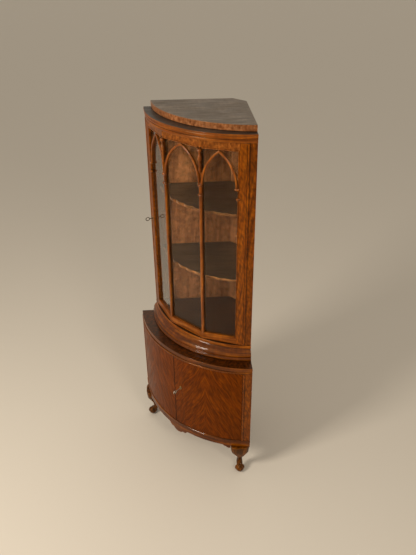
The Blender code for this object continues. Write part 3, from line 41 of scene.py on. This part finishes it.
CAMERA_TURN = 41.794
CAMERA_DROP = 30.955
CAMERA_ROLL = -0.625

# Plan of the cabinet, in metres and radians: the centre and radius of each bow, how far to the left
# the seam between the lower doors lies, and half the angle between the middles of those doors
UPPER_CENTRE = 0.300228
UPPER_RADIUS = 0.44
LOWER_CENTRE = 0.364428
LOWER_RADIUS = 0.5722
SEAM_ANGLE = 0.0158
DOOR_MIDDLE = 0.3135

# The folds of the glazed door, and the carving on its bars, in metres. A collar is given by its
# distance from the fold, half its width, and how far it stands out; its rows by their height and
# shares of the last two; the rows of a drop by how far down they lie and half their width
FOLD_OUT = 0.104
FOLD_FRONT = -0.1188
PANE_BEND = math.radians(23.67)
CARVING_BACK = 0.006
CARVING_STEPS = 10
COLLAR_HEIGHTS = (1.501, 1.543)
BAR_COLLAR = (0.0, 0.0115, 0.0062)
STILE_COLLARS = ((0.1615, 0.0085, 0.0060), (0.1575, 0.0115, 0.0075))
COLLAR_ROWS = (
    (-0.0056, 0.66, 0.45), (-0.0042, 0.86, 0.75), (-0.0014, 1.0, 1.0),
    (0.0014, 1.0, 1.0), (0.0042, 0.86, 0.75), (0.0056, 0.66, 0.45),
)
DROP_TOP = 1.6995
DROP_ROWS = (
    (0.1030, 0.0010), (0.0995, 0.0022), (0.0940, 0.0040), (0.0870, 0.0058), (0.0800, 0.0046),
    (0.0745, 0.0034), (0.0700, 0.0046), (0.0645, 0.0066), (0.0590, 0.0046), (0.0545, 0.0040),
    (0.0510, 0.0064), (0.0430, 0.0086), (0.0345, 0.0070), (0.0290, 0.0050), (0.0225, 0.0036),
    (0.0175, 0.0040), (0.0130, 0.0074), (0.0080, 0.0096), (0.0030, 0.0086), (0.0000, 0.0060),
)

# Lie of the grain: lean of upright grain, and the course of the flame figure
UPRIGHT_LEAN = 0.12
FLAME_START = 0.001
FLAME_CURVE = 0.85
FLAME_FALL = 1.5
FLAME_LIFT = 0.6

# Veneer. A scale is along the grain, across it and into the wood; a span is where a share starts
# and where it ends; a shade is a span of a noise or a length, then the two strengths it gives
SWAY_SCALE = (6.0, 13.0, 13.0)
STREAK_ALONG = 5.0
STREAK_DEEP = 60.0
STREAK_STOPS = (0.32, 0.48, 0.66)
CURL_SPAN = (0.36, 0.66)
CURL_DIMS = 0.5
CURL_BRIGHTENS = 0.4
PATCH_SCALE = (7.0, 11.0, 11.0)
PATCH_SHADE = (0.3, 0.7, 0.84, 1.12)
PORE_SCALE = (55.0, 1300.0, 1300.0)
PORE_SPAN = (0.60, 0.72)
PORE_TONE = 0.35
PORE_SHOW = 0.4
PORE_ROUGH = 0.12
SMEAR_SCALE = (9.0, 16.0, 16.0)
SMEAR_SPAN = (0.3, 0.7)
SMEAR_SMOOTHS = 0.06
SMEAR_ROUGHENS = 0.08
STREAK_RELIEF = 0.25
PORE_RELIEF = 0.5

# Wood: seam darkening, painted shade in hollows, level faces, worn edges with painted glints,
# polish
SEAM_SHADE = (0.0012, 0.0042, 0.25, 1.0)
HOLLOW_REACH = 0.007
HOLLOW_SAMPLES = 6
HOLLOW_SHADE = (0.35, 0.85, 0.3, 1.0)
LEVEL_SEED = 0.7
LEVEL_SPAN = (0.8, 0.95)
EDGE_SAMPLES = 12
EDGE_SPAN = (0.99, 0.86)
# Edge lightening: rubbed wear, and painted glints on the bars
RUB_AND_GLINT_SCALE = (30.0, 30.0, 30.0)
RUB_AND_GLINT_SPAN = (0.42, 0.62)
RUB_AND_GLINT_TONE = 1.5
WOOD_RELIEF = {"Strength": 0.18, "Distance": 0.0004}
COAT_ROUGHNESS = 0.07
WOOD_TINT = (1.0, 0.55, 0.22, 1.0)

# Metal
BLOTCH_SCALE = (90.0, 90.0, 90.0)
BLOTCH_SPAN = (0.3, 0.7)
TARNISH_STOPS = (0.35, 0.62)
TARNISH_ROUGHENS = 0.16
RUBBING_SMOOTHS = 0.05
SCRATCH_SCALE = (900.0, 900.0, 60.0)
SCRATCH_ROUGH = 0.08
METAL_RELIEF = {"Strength": 0.12, "Distance": 0.0002}

# Glass
WAVE_SCALE = (9.0, 9.0, 4.0)
WAVE_RELIEF = {"Strength": 0.03, "Distance": 0.002}
DUST_SCALE = 60.0
DUST_SHADE = (0.5, 0.8, 0.0, 0.015)
GLASS_COLOUR = (0.94, 0.95, 0.93, 1.0)
GLASS_SHADOW = (0.9, 0.92, 0.9, 1.0)

# Floor, world and lamps: a lamp is given by its place and width in metres, and its watts
FLOOR_SIZE = 40
FLOOR_COLOUR = (0.62, 0.54, 0.43, 1.0)
FLOOR_ROUGHNESS = 0.7
WORLD_LIGHT = {"Color": (1.0, 0.95, 0.88, 1.0), "Strength": 0.5}
WORLD_SEEN = {"Color": (0.66, 0.61, 0.52, 1.0), "Strength": 1.0}
LAMP_AIM = (0, 0, 0.9)
LAMP_COLOUR = (1.0, 0.96, 0.9)
LAMPS = {"key": ((-0.55, -2.9, 2.45), 0.8, 86), "fill": ((2.6, -1.2, 2.6), 0.6, 24)}

# The curve from display values of 0 to 255 to amounts of light
DISPLAY_TOP = 255
CURVE_FOOT = 0.04045
CURVE_SLOPE = 12.92
CURVE_LIFT = 0.055
CURVE_SPAN = 1.055
CURVE_POWER = 2.4

# The colour sockets of a Mix node, and where a new stop of a colour ramp waits for its place
MIX_FIRST = 6
MIX_SECOND = 7
MIX_RESULT = 2
SPARE_STOP = 0.5


# Camera

def add_item(name, data):
    item = bpy.data.objects.new(name, data)
    bpy.context.scene.collection.objects.link(item)
    return item


def turned(degrees, axis):
    return Matrix.Rotation(math.radians(degrees), 4, axis)


def add_camera():
    camera = bpy.data.cameras.new("camera")
    camera.sensor_width = CAMERA_SENSOR
    camera.lens = CAMERA_LENS
    item = add_item("camera", camera)
    aim = turned(CAMERA_TURN, "Z") @ turned(90 - CAMERA_DROP, "X") @ turned(CAMERA_ROLL, "Z")
    item.matrix_world = Matrix.Translation(CAMERA_PLACE) @ aim
    bpy.context.scene.camera = item


add_camera()


# Node trees

def tone(red, green, blue):
    """A colour given on the usual scale of 0 to 255."""
    light = []
    for value in (red, green, blue):
        share = value / DISPLAY_TOP
        if share <= CURVE_FOOT:
            light.append(share / CURVE_SLOPE)
        else:
            light.append(((share + CURVE_LIFT) / CURVE_SPAN) ** CURVE_POWER)
    return (*light, 1.0)


def times(colour, share):
    """A colour with its strength changed, and no part of it over 1."""
    return (*[min(1.0, value * share) for value in colour[:3]], 1.0)


class Tree:
    """A short way to write a node tree."""

    def __init__(self, tree):
        self.tree = tree

    def add(self, kind, inputs=None, **settings):
        node = self.tree.nodes.new(kind)
        for name, value in settings.items():
            setattr(node, name, value)
        for name, value in (inputs or {}).items():
            self.put(node.inputs[name], value)
        return node

    def put(self, socket, value):
        if isinstance(value, bpy.types.NodeSocket):
            self.tree.links.new(value, socket)
        else:
            socket.default_value = value

    def math(self, operation, *values):
        node = self.add("ShaderNodeMath", operation=operation)
        for socket, value in zip(node.inputs, values):
            self.put(socket, value)
        return node.outputs[0]

    def vector(self, x, y, z):
        return self.add("ShaderNodeCombineXYZ", {"X": x, "Y": y, "Z": z}).outputs[0]

    def scaled(self, vector, x, y, z):
        node = self.add("ShaderNodeVectorMath", operation="MULTIPLY")
        self.put(node.inputs[0], vector)
        self.put(node.inputs[1], (x, y, z))
        return node.outputs[0]

    def noise(self, vector, scale=1.0, detail=3.0, roughness=0.55):
        inputs = {"Vector": vector, "Scale": scale, "Detail": detail, "Roughness": roughness}
        return self.add("ShaderNodeTexNoise", inputs).outputs["Fac"]

    def ramp(self, value, places, colours):
        node = self.add("ShaderNodeValToRGB", {"Fac": value})
        elements = node.color_ramp.elements
        while len(elements) < len(places):
            elements.new(SPARE_STOP)
        for element, place, colour in zip(elements, places, colours):
            element.position = place
            element.color = colour
        return node.outputs["Color"]

    def range(self, value, low, high, to_low=0.0, to_high=1.0):
        inputs = {
            "Value": value, "From Min": low, "From Max": high, "To Min": to_low, "To Max": to_high,
        }
        return self.add("ShaderNodeMapRange", inputs).outputs["Result"]

    def mix(self, factor, first, second, blend="MIX"):
        node = self.add("ShaderNodeMix", data_type="RGBA", blend_type=blend)
        self.put(node.inputs["Factor"], factor)
        self.put(node.inputs[MIX_FIRST], first)
        self.put(node.inputs[MIX_SECOND], second)
        return node.outputs[MIX_RESULT]

    def dim(self, colour, share):
        """A colour with its strength multiplied by a number."""
        return self.mix(1.0, colour, self.vector(share, share, share), "MULTIPLY")

    def blend(self, factor, first, second):
        """Mix two numbers."""
        gap = self.math("SUBTRACT", second, first)
        return self.math("ADD", first, self.math("MULTIPLY", gap, factor))

    def choose(self, factor, first, second):
        """Mix two shaders."""
        node = self.add("ShaderNodeMixShader", {"Fac": factor})
        self.put(node.inputs[1], first)
        self.put(node.inputs[2], second)
        return node.outputs[0]


def new_material(name):
    material = bpy.data.materials.new(name)
    material.use_nodes = True
    tree = Tree(material.node_tree)
    return material, tree, material.node_tree.nodes["Principled BSDF"]


def place_sockets(tree):
    """The object's own coordinates, in metres, and how far its surface faces up."""
    coordinates = tree.add("ShaderNodeTexCoord")
    parts = tree.add("ShaderNodeSeparateXYZ", {"Vector": coordinates.outputs["Object"]})
    facing = tree.add("ShaderNodeSeparateXYZ", {"Vector": coordinates.outputs["Normal"]})
    return [parts.outputs[name] for name in "XYZ"], facing.outputs["Z"]


# Lies of the grain: each gives the place along the grain, across it, and into the wood

def bow_sockets(tree, x, y, centre, radius):
    """Distance along a bow and distance from its centre."""
    back = tree.math("SUBTRACT", centre, y)
    angle = tree.math("ARCTAN2", x, back)
    square = tree.math("ADD", tree.math("MULTIPLY", x, x), tree.math("MULTIPLY", back, back))
    return tree.math("MULTIPLY", angle, radius), tree.math("SQRT", square)


def grain_up(tree, x, y, z):
    return z, tree.math("SUBTRACT", x, tree.math("MULTIPLY", z, UPRIGHT_LEAN)), y


def grain_along(tree, x, y, z, centre=UPPER_CENTRE, radius=UPPER_RADIUS):
    run, reach = bow_sockets(tree, x, y, centre, radius)
    return run, z, reach


def grain_cross(tree, x, y, z, centre=UPPER_CENTRE, radius=UPPER_RADIUS):
    """Cross-banding: up on the edge of a board and out from the bow's centre on its top."""
    run, reach = bow_sockets(tree, x, y, centre, radius)
    return tree.math("SUBTRACT", z, reach), run, tree.math("ADD", z, reach)


def lower_along(tree, x, y, z):
    return grain_along(tree, x, y, z, LOWER_CENTRE, LOWER_RADIUS)


def lower_cross(tree, x, y, z):
    return grain_cross(tree, x, y, z, LOWER_CENTRE, LOWER_RADIUS)


def grain_left_wall(tree, x, y, z):
    """Grain parallel to the left wall."""
    return tree.math("ADD", x, y), tree.math("SUBTRACT", x, y), z


def grain_flame(tree, x, y, z):
    """Book-matched figure that falls away from a seam in the middle of each lower door."""
    run, reach = bow_sockets(tree, x, y, LOWER_CENTRE, LOWER_RADIUS)
    half = tree.math("ABSOLUTE", tree.math("ADD", run, SEAM_ANGLE / 2 * LOWER_RADIUS))
    out = tree.math("ABSOLUTE", tree.math("SUBTRACT", half, DOOR_MIDDLE * LOWER_RADIUS))
    fall = tree.math("POWER", tree.math("ADD", out, FLAME_START), FLAME_CURVE)
    across = tree.math("ADD", tree.math("MULTIPLY", fall, FLAME_FALL), z)
    return tree.math("SUBTRACT", out, tree.math("MULTIPLY", z, FLAME_LIFT)), across, reach


# Surfaces

def veneer(tree, place, grain, look, seed):
    """Colour, roughness and relief of one veneer: streaks, figure, patches of age, and pores."""
    along, across, deep = grain(tree, *place)
    along = tree.math("ADD", along, seed)
    lay = tree.vector(along, across, deep)

    # Growth streaks
    drift = tree.noise(tree.scaled(lay, *SWAY_SCALE), detail=3.0)
    sway = tree.math("MULTIPLY", drift, look["sway"])
    swayed = tree.vector(along, tree.math("ADD", across, sway), deep)
    streaks = tree.scaled(swayed, STREAK_ALONG, look["streak"], STREAK_DEEP)
    streaks = tree.noise(streaks, detail=5.0, roughness=0.6)
    colour = tree.ramp(streaks, STREAK_STOPS, look["tones"])

    # Figure, and patches of age
    bands, width = look["bands"]
    slanted = tree.math("ADD", across, tree.math("MULTIPLY", along, look["slant"]))
    slanted = tree.vector(along, tree.math("ADD", slanted, sway), deep)
    curl = tree.noise(tree.scaled(slanted, bands, width, width), detail=3.0, roughness=0.5)
    dimmest = 1.0 - CURL_DIMS * look["figure"]
    brightest = 1.0 + CURL_BRIGHTENS * look["figure"]
    shine = tree.range(curl, *CURL_SPAN, dimmest, brightest)
    patches = tree.noise(tree.scaled(lay, *PATCH_SCALE), detail=2.0)
    colour = tree.dim(colour, tree.math("MULTIPLY", shine, tree.range(patches, *PATCH_SHADE)))

    # Pores, and the polish that doesn't fill them
    pores = tree.noise(tree.scaled(lay, *PORE_SCALE), detail=1.0)
    mask = tree.range(pores, *PORE_SPAN)
    pore_colour = times(look["tones"][0], PORE_TONE)
    colour = tree.mix(tree.math("MULTIPLY", mask, PORE_SHOW), colour, pore_colour)
    smear = tree.noise(tree.scaled(lay, *SMEAR_SCALE), detail=4.0)
    smoothest, roughest = look["rough"] - SMEAR_SMOOTHS, look["rough"] + SMEAR_ROUGHENS
    rough = tree.range(smear, *SMEAR_SPAN, smoothest, roughest)
    rough = tree.math("ADD", rough, tree.math("MULTIPLY", mask, PORE_ROUGH))
    raised = tree.math("MULTIPLY", streaks, STREAK_RELIEF)
    height = tree.math("SUBTRACT", raised, tree.math("MULTIPLY", mask, PORE_RELIEF))
    return colour, rough, height, lay


def seam_shade(tree, place):
    """Darker along the meeting edges of the lower doors."""
    x, y, _ = place
    run, _ = bow_sockets(tree, x, y, LOWER_CENTRE, LOWER_RADIUS)
    off = tree.math("ABSOLUTE", tree.math("ADD", run, SEAM_ANGLE * LOWER_RADIUS))
    return tree.range(off, *SEAM_SHADE)


def painted_hollow_shade(tree):
    """Painted shade: darker colour in hollows and narrow joints, whatever the light."""
    reach = {"Distance": HOLLOW_REACH}
    near = tree.add("ShaderNodeAmbientOcclusion", reach, samples=HOLLOW_SAMPLES)
    return tree.range(near.outputs["AO"], *HOLLOW_SHADE)


def rubbed_and_glint_edges(tree, rounded, lay):
    """How far edges are lightened, as rubbed-through polish and as painted glints: where the
    rounded surface turns from the flat one.
    """
    geometry = tree.add("ShaderNodeNewGeometry")
    turn = tree.add("ShaderNodeVectorMath", operation="DOT_PRODUCT")
    tree.put(turn.inputs[0], rounded)
    tree.put(turn.inputs[1], geometry.outputs["Normal"])
    edge = tree.range(turn.outputs["Value"], *EDGE_SPAN)
    rub_and_glint = tree.noise(tree.scaled(lay, *RUB_AND_GLINT_SCALE), detail=3.0)
    return tree.math("MULTIPLY", edge, tree.range(rub_and_glint, *RUB_AND_GLINT_SPAN))


def wood(
    name, grain, look, level=None, coat=0.15, gloss=0.3, seed=0.0, shade=None, rounding=0.0012,
    wear_and_glint=0.55,
):
    """Polished wood: worn edges with painted glints, painted shade in hollows; level is a grain and
    look for level faces.
    """
    material, tree, shader = new_material(name)
    place, facing = place_sockets(tree)
    colour, rough, height, lay = veneer(tree, place, grain, look, seed)
    if level:
        top_colour, top_rough, top_height, _ = veneer(tree, place, *level, seed + LEVEL_SEED)
        mask = tree.range(facing, *LEVEL_SPAN)
        colour = tree.mix(mask, colour, top_colour)
        rough = tree.blend(mask, rough, top_rough)
        height = tree.blend(mask, height, top_height)
    if shade:
        colour = tree.dim(colour, shade(tree, place))
    rounded = tree.add("ShaderNodeBevel", {"Radius": rounding}, samples=EDGE_SAMPLES).outputs[0]
    # Lightened edges: rubbed wear, and painted glints where the share is set high
    worn_and_glint = tree.math("MULTIPLY", rubbed_and_glint_edges(tree, rounded, lay), wear_and_glint)
    colour = tree.mix(worn_and_glint, colour, times(look["tones"][-1], RUB_AND_GLINT_TONE))
    # Painted shade: darker in hollows and narrow joints
    colour = tree.dim(colour, painted_hollow_shade(tree))
    relief = tree.add("ShaderNodeBump", {**WOOD_RELIEF, "Height": height, "Normal": rounded})
    tree.put(shader.inputs["Base Color"], colour)
    tree.put(shader.inputs["Roughness"], rough)
    tree.put(shader.inputs["Normal"], relief.outputs["Normal"])
    tree.put(shader.inputs["Coat Normal"], rounded)
    shader.inputs["Coat Weight"].default_value = coat
    shader.inputs["Coat Roughness"].default_value = COAT_ROUGHNESS
    shader.inputs["Specular IOR Level"].default_value = gloss
    shader.inputs["Specular Tint"].default_value = WOOD_TINT
    return material


def metal(name, base, tarnish, roughness, seed=0.0):
    """Old handled metal: tarnish in blotches, bright where it is rubbed, fine scratches."""
    material, tree, shader = new_material(name)
    (x, y, z), _ = place_sockets(tree)
    place = tree.vector(tree.math("ADD", x, seed), y, z)
    blotch = tree.noise(tree.scaled(place, *BLOTCH_SCALE), detail=5.0, roughness=0.65)
    scratch = tree.noise(tree.scaled(place, *SCRATCH_SCALE), detail=2.0)
    roughest, smoothest = roughness + TARNISH_ROUGHENS, roughness - RUBBING_SMOOTHS
    rough = tree.range(blotch, *BLOTCH_SPAN, roughest, smoothest)
    rough = tree.math("ADD", rough, tree.math("MULTIPLY", scratch, SCRATCH_ROUGH))
    relief = tree.add("ShaderNodeBump", {**METAL_RELIEF, "Height": scratch})
    tree.put(shader.inputs["Base Color"], tree.ramp(blotch, TARNISH_STOPS, (tarnish, base)))
    tree.put(shader.inputs["Roughness"], rough)
    tree.put(shader.inputs["Normal"], relief.outputs["Normal"])
    shader.inputs["Metallic"].default_value = 1.0
    return material


def clear_glass(name, ior):
    """Old drawn glass: clear, slightly wavy, with a little dust; light falls through it."""
    material, tree, shader = new_material(name)
    (x, y, z), _ = place_sockets(tree)
    place = tree.vector(x, y, z)
    wave = tree.noise(tree.scaled(place, *WAVE_SCALE), detail=1.0)
    relief = tree.add("ShaderNodeBump", {**WAVE_RELIEF, "Height": wave})
    dust = tree.noise(place, scale=DUST_SCALE, detail=4.0)
    shader.inputs["Base Color"].default_value = GLASS_COLOUR
    shader.inputs["Transmission Weight"].default_value = 1.0
    shader.inputs["IOR"].default_value = ior
    tree.put(shader.inputs["Roughness"], tree.range(dust, *DUST_SHADE))
    tree.put(shader.inputs["Normal"], relief.outputs["Normal"])
    through = tree.add("ShaderNodeBsdfTransparent", {"Color": GLASS_SHADOW})
    path = tree.add("ShaderNodeLightPath")
    surface = tree.choose(path.outputs["Is Shadow Ray"], shader.outputs[0], through.outputs[0])
    tree.put(material.node_tree.nodes["Material Output"].inputs["Surface"], surface)
    return material


def veneer_look(
    dark, middle, light, figure=0.8, streak=85.0, bands=(62.0, 22.0), rough=0.34, sway=0.03,
    slant=0.0,
):
    """The three tones of a veneer, and the strength, scale and run of its figure."""
    return {
        "tones": (tone(*dark), tone(*middle), tone(*light)), "figure": figure, "streak": streak,
        "bands": bands, "rough": rough, "sway": sway, "slant": slant,
    }


UPRIGHT = veneer_look(
    (80, 32, 0), (104, 47, 0), (128, 64, 2), figure=0.9, streak=150.0, bands=(44.0, 95.0),
    slant=0.5,
)
ALONG = veneer_look((52, 18, 0), (85, 36, 0), (124, 64, 2), figure=0.45)
BRIGHT = veneer_look((78, 32, 1), (110, 51, 3), (144, 78, 14), figure=0.35)
FRIEZE = veneer_look((78, 34, 4), (112, 56, 12), (146, 82, 28), figure=0.5, bands=(30.0, 60.0))
BANDED = veneer_look((84, 42, 17), (120, 70, 37), (148, 97, 59), figure=0.45, bands=(24.0, 40.0))
FLAME = veneer_look(
    (80, 31, 0), (92, 38, 0), (104, 47, 0), figure=0.68, streak=84.0, bands=(20.0, 54.0),
    sway=0.095,
)
DARK_BANDED = veneer_look(
    (10, 3, 0), (48, 18, 0), (78, 35, 3), figure=0.4, streak=100.0, bands=(20.0, 70.0),
)
CARVED = veneer_look((34, 13, 0), (74, 36, 0), (114, 60, 4), figure=0.7)
PLAIN = veneer_look((44, 22, 9), (72, 40, 18), (98, 60, 30), figure=0.2, rough=0.55)
BACK = veneer_look(
    (82, 46, 22), (101, 60, 32), (123, 78, 44), figure=0.6, streak=40.0, bands=(48.0, 40.0),
    rough=0.45,
)
CASE_FLOOR = veneer_look((22, 10, 4), (38, 19, 8), (58, 32, 15), figure=0.3, rough=0.4)
SHELF = veneer_look((32, 21, 12), (50, 35, 22), (70, 52, 35), figure=0.3, rough=0.36)
SHELF_EDGE = veneer_look(
    (62, 36, 16), (100, 60, 28), (140, 90, 48), figure=0.8, bands=(40.0, 40.0),
)
GREY_TOP = veneer_look(
    (73, 62, 51), (93, 80, 66), (120, 104, 88), figure=0.25, streak=60.0, rough=0.46,
)
# Near black tone for the level ledge around the cap on the cornice
DARK_LEDGE = veneer_look((22, 19, 17), (38, 33, 29), (58, 50, 44), figure=0.3, rough=0.5)

SURFACES = {
    "up": wood("mahogany_up", grain_up, UPRIGHT),
    "up_left": wood("mahogany_up_left", grain_up, UPRIGHT, seed=3.1),
    # Bars: edges lightened far more than elsewhere, painted glints along the bars over their wear
    "slender": wood(
        "mahogany_bars", grain_up, BRIGHT, coat=0.35, gloss=0.4, seed=4.6, rounding=0.002,
        wear_and_glint=0.95,
    ),
    "along": wood("mahogany_along", grain_along, BRIGHT, seed=1.7),
    "waist": wood(
        "mahogany_waist", grain_along, ALONG, coat=0.4, gloss=0.15, seed=2.9, rounding=0.0035,
    ),
    "frieze": wood("mahogany_frieze", grain_cross, FRIEZE, seed=0.9),
    "cornice": wood("mahogany_cornice", grain_along, BRIGHT, (grain_left_wall, DARK_LEDGE), seed=1.4),
    "lower_along": wood(
        "mahogany_lower_along", lower_along, ALONG, coat=0.25, gloss=0.2, seed=2.3,
    ),
    "flame": wood(
        "mahogany_flame", grain_flame, FLAME, coat=0.0, gloss=0.1, seed=5.0, shade=seam_shade,
    ),
    "base": wood(
        "mahogany_base_top", lower_along, ALONG, (lower_cross, DARK_BANDED), coat=0.3, seed=0.4,
    ),
    "cap": wood("aged_top", grain_cross, BANDED, (grain_left_wall, GREY_TOP), coat=0.05, seed=6.0),
    "back": wood("back_veneer_up", grain_up, BACK, coat=0.05, seed=7.0),
    "shelf": wood(
        "shelf_veneer", grain_along, SHELF_EDGE, (grain_left_wall, SHELF), coat=0.1, seed=8.0,
    ),
    "case_floor": wood(
        "case_floor_wood", grain_along, BRIGHT, (grain_left_wall, CASE_FLOOR), seed=8.4,
    ),
    "carcass": wood("carcass_wood", grain_up, PLAIN, coat=0.0, seed=9.0),
    "carcass_along": wood("carcass_wood_along", grain_left_wall, PLAIN, coat=0.0, seed=9.5),
    "carved": wood(
        "carved_mahogany", grain_up, CARVED, coat=0.12, gloss=0.25, seed=10.0, rounding=0.005,
    ),
    "brass": metal("aged_brass", tone(190, 160, 105), tone(110, 84, 48), roughness=0.34),
    "bronze": metal("dark_bronze", tone(98, 84, 66), tone(40, 34, 28), roughness=0.34, seed=2.0),
    "steel": metal(
        "worn_key_steel", tone(200, 192, 176), tone(128, 116, 98), roughness=0.42, seed=2.6,
    ),
    "glass": clear_glass("old_window_glass", ior=1.2),
    "side_glass": clear_glass("old_side_glass", ior=1.65),
}

DRESS = {
    "up": ["upper_post_right", "lower_post_right", "upper_door_stile_right"],
    "up_left": ["upper_post_left", "lower_post_left", "upper_door_stile_left"],
    "slender": ["muntin_right", "muntin_left", "tracery"],
    "along": ["upper_door_bottom_rail"],
    "waist": ["waist_moulding"],
    "frieze": ["upper_door_top_rail"],
    "cornice": ["cornice"],
    "lower_along": ["skirt", "lower_case_floor", "lower_case_top"],
    "flame": ["lower_door_left", "lower_door_right"],
    "base": ["base_top"],
    "cap": ["cap_top"],
    "back": [
        "upper_back_left", "upper_back_right", "upper_back_corner", "lower_back_left",
        "lower_back_right", "lower_back_corner",
    ],
    "shelf": ["display_shelf_lower", "display_shelf_upper"],
    "case_floor": ["upper_case_floor"],
    "carcass": ["glazing_fillet_left", "glazing_fillet_centre", "glazing_fillet_right"],
    "carcass_along": [
        "upper_case_top", "lower_shelf", "side_rail_left", "side_rail_right", "upper_door_stop",
        "lower_door_stop",
    ],
    "carved": ["front_leg_left", "front_leg_right", "rear_leg"],
    "brass": [
        "upper_door_pivot_top", "upper_door_pivot_bottom", "lower_door_right_pivot_top",
        "lower_door_right_pivot_bottom", "lower_door_left_pivot_top",
        "lower_door_left_pivot_bottom", "upper_lock_case", "lower_lock_case", "upper_bolt",
        "lower_bolt", "upper_escutcheon", "lower_escutcheon", "slip_bolt", "slip_bolt_case",
    ],
    "bronze": ["upper_key"],
    "steel": ["lower_key"],
    "glass": ["glass_centre", "glass_right"],
    "side_glass": ["glass_left"],
}


def dress_nodes():
    for surface, names in DRESS.items():
        for name in names:
            for slot in NODES[name].material_slots:
                slot.material = SURFACES[surface]


dress_nodes()


# Carved collars and drops on the glazed door, laid over the bars that carry them

def pane_place(side, bend, along, depth, height):
    """A point by a fold of the door: along a face that turns by bend, into the wood, and up."""
    x = FOLD_OUT + along * math.cos(bend) - depth * math.sin(bend)
    return (side * x, FOLD_FRONT + along * math.sin(bend) + depth * math.cos(bend), height)


def add_carving(name, side, bend, middle, rows):
    """A round-faced carving lofted through rows of (height, half width, how far it stands out)."""
    bm = bmesh.new()
    rings = []
    for height, half, proud in rows:
        outline = [(middle + half, CARVING_BACK)]
        for step in range(CARVING_STEPS + 1):
            turn = math.pi * step / CARVING_STEPS
            outline.append((middle + half * math.cos(turn), -proud * math.sin(turn)))
        outline.append((middle - half, CARVING_BACK))
        rings.append([
            bm.verts.new(pane_place(side, bend, along, depth, height)) for along, depth in outline
        ])
    for lower, upper in zip(rings, rings[1:]):
        for index in range(len(lower)):
            after = (index + 1) % len(lower)
            bm.faces.new((lower[index], lower[after], upper[after], upper[index]))
    bm.faces.new(rings[0])
    bm.faces.new(rings[-1])
    bmesh.ops.recalc_face_normals(bm, faces=bm.faces)
    mesh = bpy.data.meshes.new(name)
    bm.to_mesh(mesh)
    bm.free()
    mesh.shade_smooth()
    mesh.materials.append(SURFACES["slender"])
    piece = add_item(name, mesh)
    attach(piece, "upper_door")


def add_collar(name, side, bend, height, collar):
    middle, half, proud = collar
    rows = [(height + rise, half * wide, proud * out) for rise, wide, out in COLLAR_ROWS]
    add_carving(name, side, bend, middle, rows)


def add_carvings():
    drop_rows = [(DROP_TOP - fall, half, half) for fall, half in DROP_ROWS]
    for side, label in ((1, "right"), (-1, "left")):
        add_carving("carved_drop_" + label, side, PANE_BEND / 2, 0.0, drop_rows)
        for number, height in enumerate(COLLAR_HEIGHTS):
            ending = label + "_" + str(number + 1)
            add_collar("bar_collar_" + ending, side, PANE_BEND / 2, height, BAR_COLLAR)
            add_collar("stile_collar_" + ending, side, PANE_BEND, height, STILE_COLLARS[number])


add_carvings()


# Floor, world and lamps

def add_floor():
    bm = bmesh.new()
    bmesh.ops.create_grid(bm, x_segments=1, y_segments=1, size=FLOOR_SIZE)
    mesh = bpy.data.meshes.new("floor")
    bm.to_mesh(mesh)
    bm.free()
    floor = add_item("floor", mesh)
    material, _, shader = new_material("pale_floor")
    shader.inputs["Base Color"].default_value = FLOOR_COLOUR
    shader.inputs["Roughness"].default_value = FLOOR_ROUGHNESS
    mesh.materials.append(material)


def add_world():
    """A plain pale surround that is seen brighter than the light it gives."""
    world = bpy.data.worlds.new("studio")
    bpy.context.scene.world = world
    world.use_nodes = True
    tree = Tree(world.node_tree)
    lit = world.node_tree.nodes["Background"]
    for name, value in WORLD_LIGHT.items():
        lit.inputs[name].default_value = value
    shown = tree.add("ShaderNodeBackground", WORLD_SEEN)
    path = tree.add("ShaderNodeLightPath")
    seen = tree.math("MAXIMUM", path.outputs["Is Camera Ray"], path.outputs["Is Transmission Ray"])
    seen = tree.math("MAXIMUM", seen, path.outputs["Is Glossy Ray"])
    surface = tree.choose(seen, lit.outputs[0], shown.outputs[0])
    tree.put(world.node_tree.nodes["World Output"].inputs["Surface"], surface)


def add_lamps():
    for name, (place, width, watts) in LAMPS.items():
        light = bpy.data.lights.new(name, "AREA")
        light.shape = "RECTANGLE"
        light.size = light.size_y = width
        light.energy = watts
        light.color = LAMP_COLOUR
        item = add_item(name, light)
        item.location = place
        aim = Vector(LAMP_AIM) - Vector(place)
        item.rotation_euler = aim.to_track_quat("-Z", "Y").to_euler()


add_floor()
add_world()
add_lamps()
bpy.context.scene.view_settings.view_transform = "Standard"
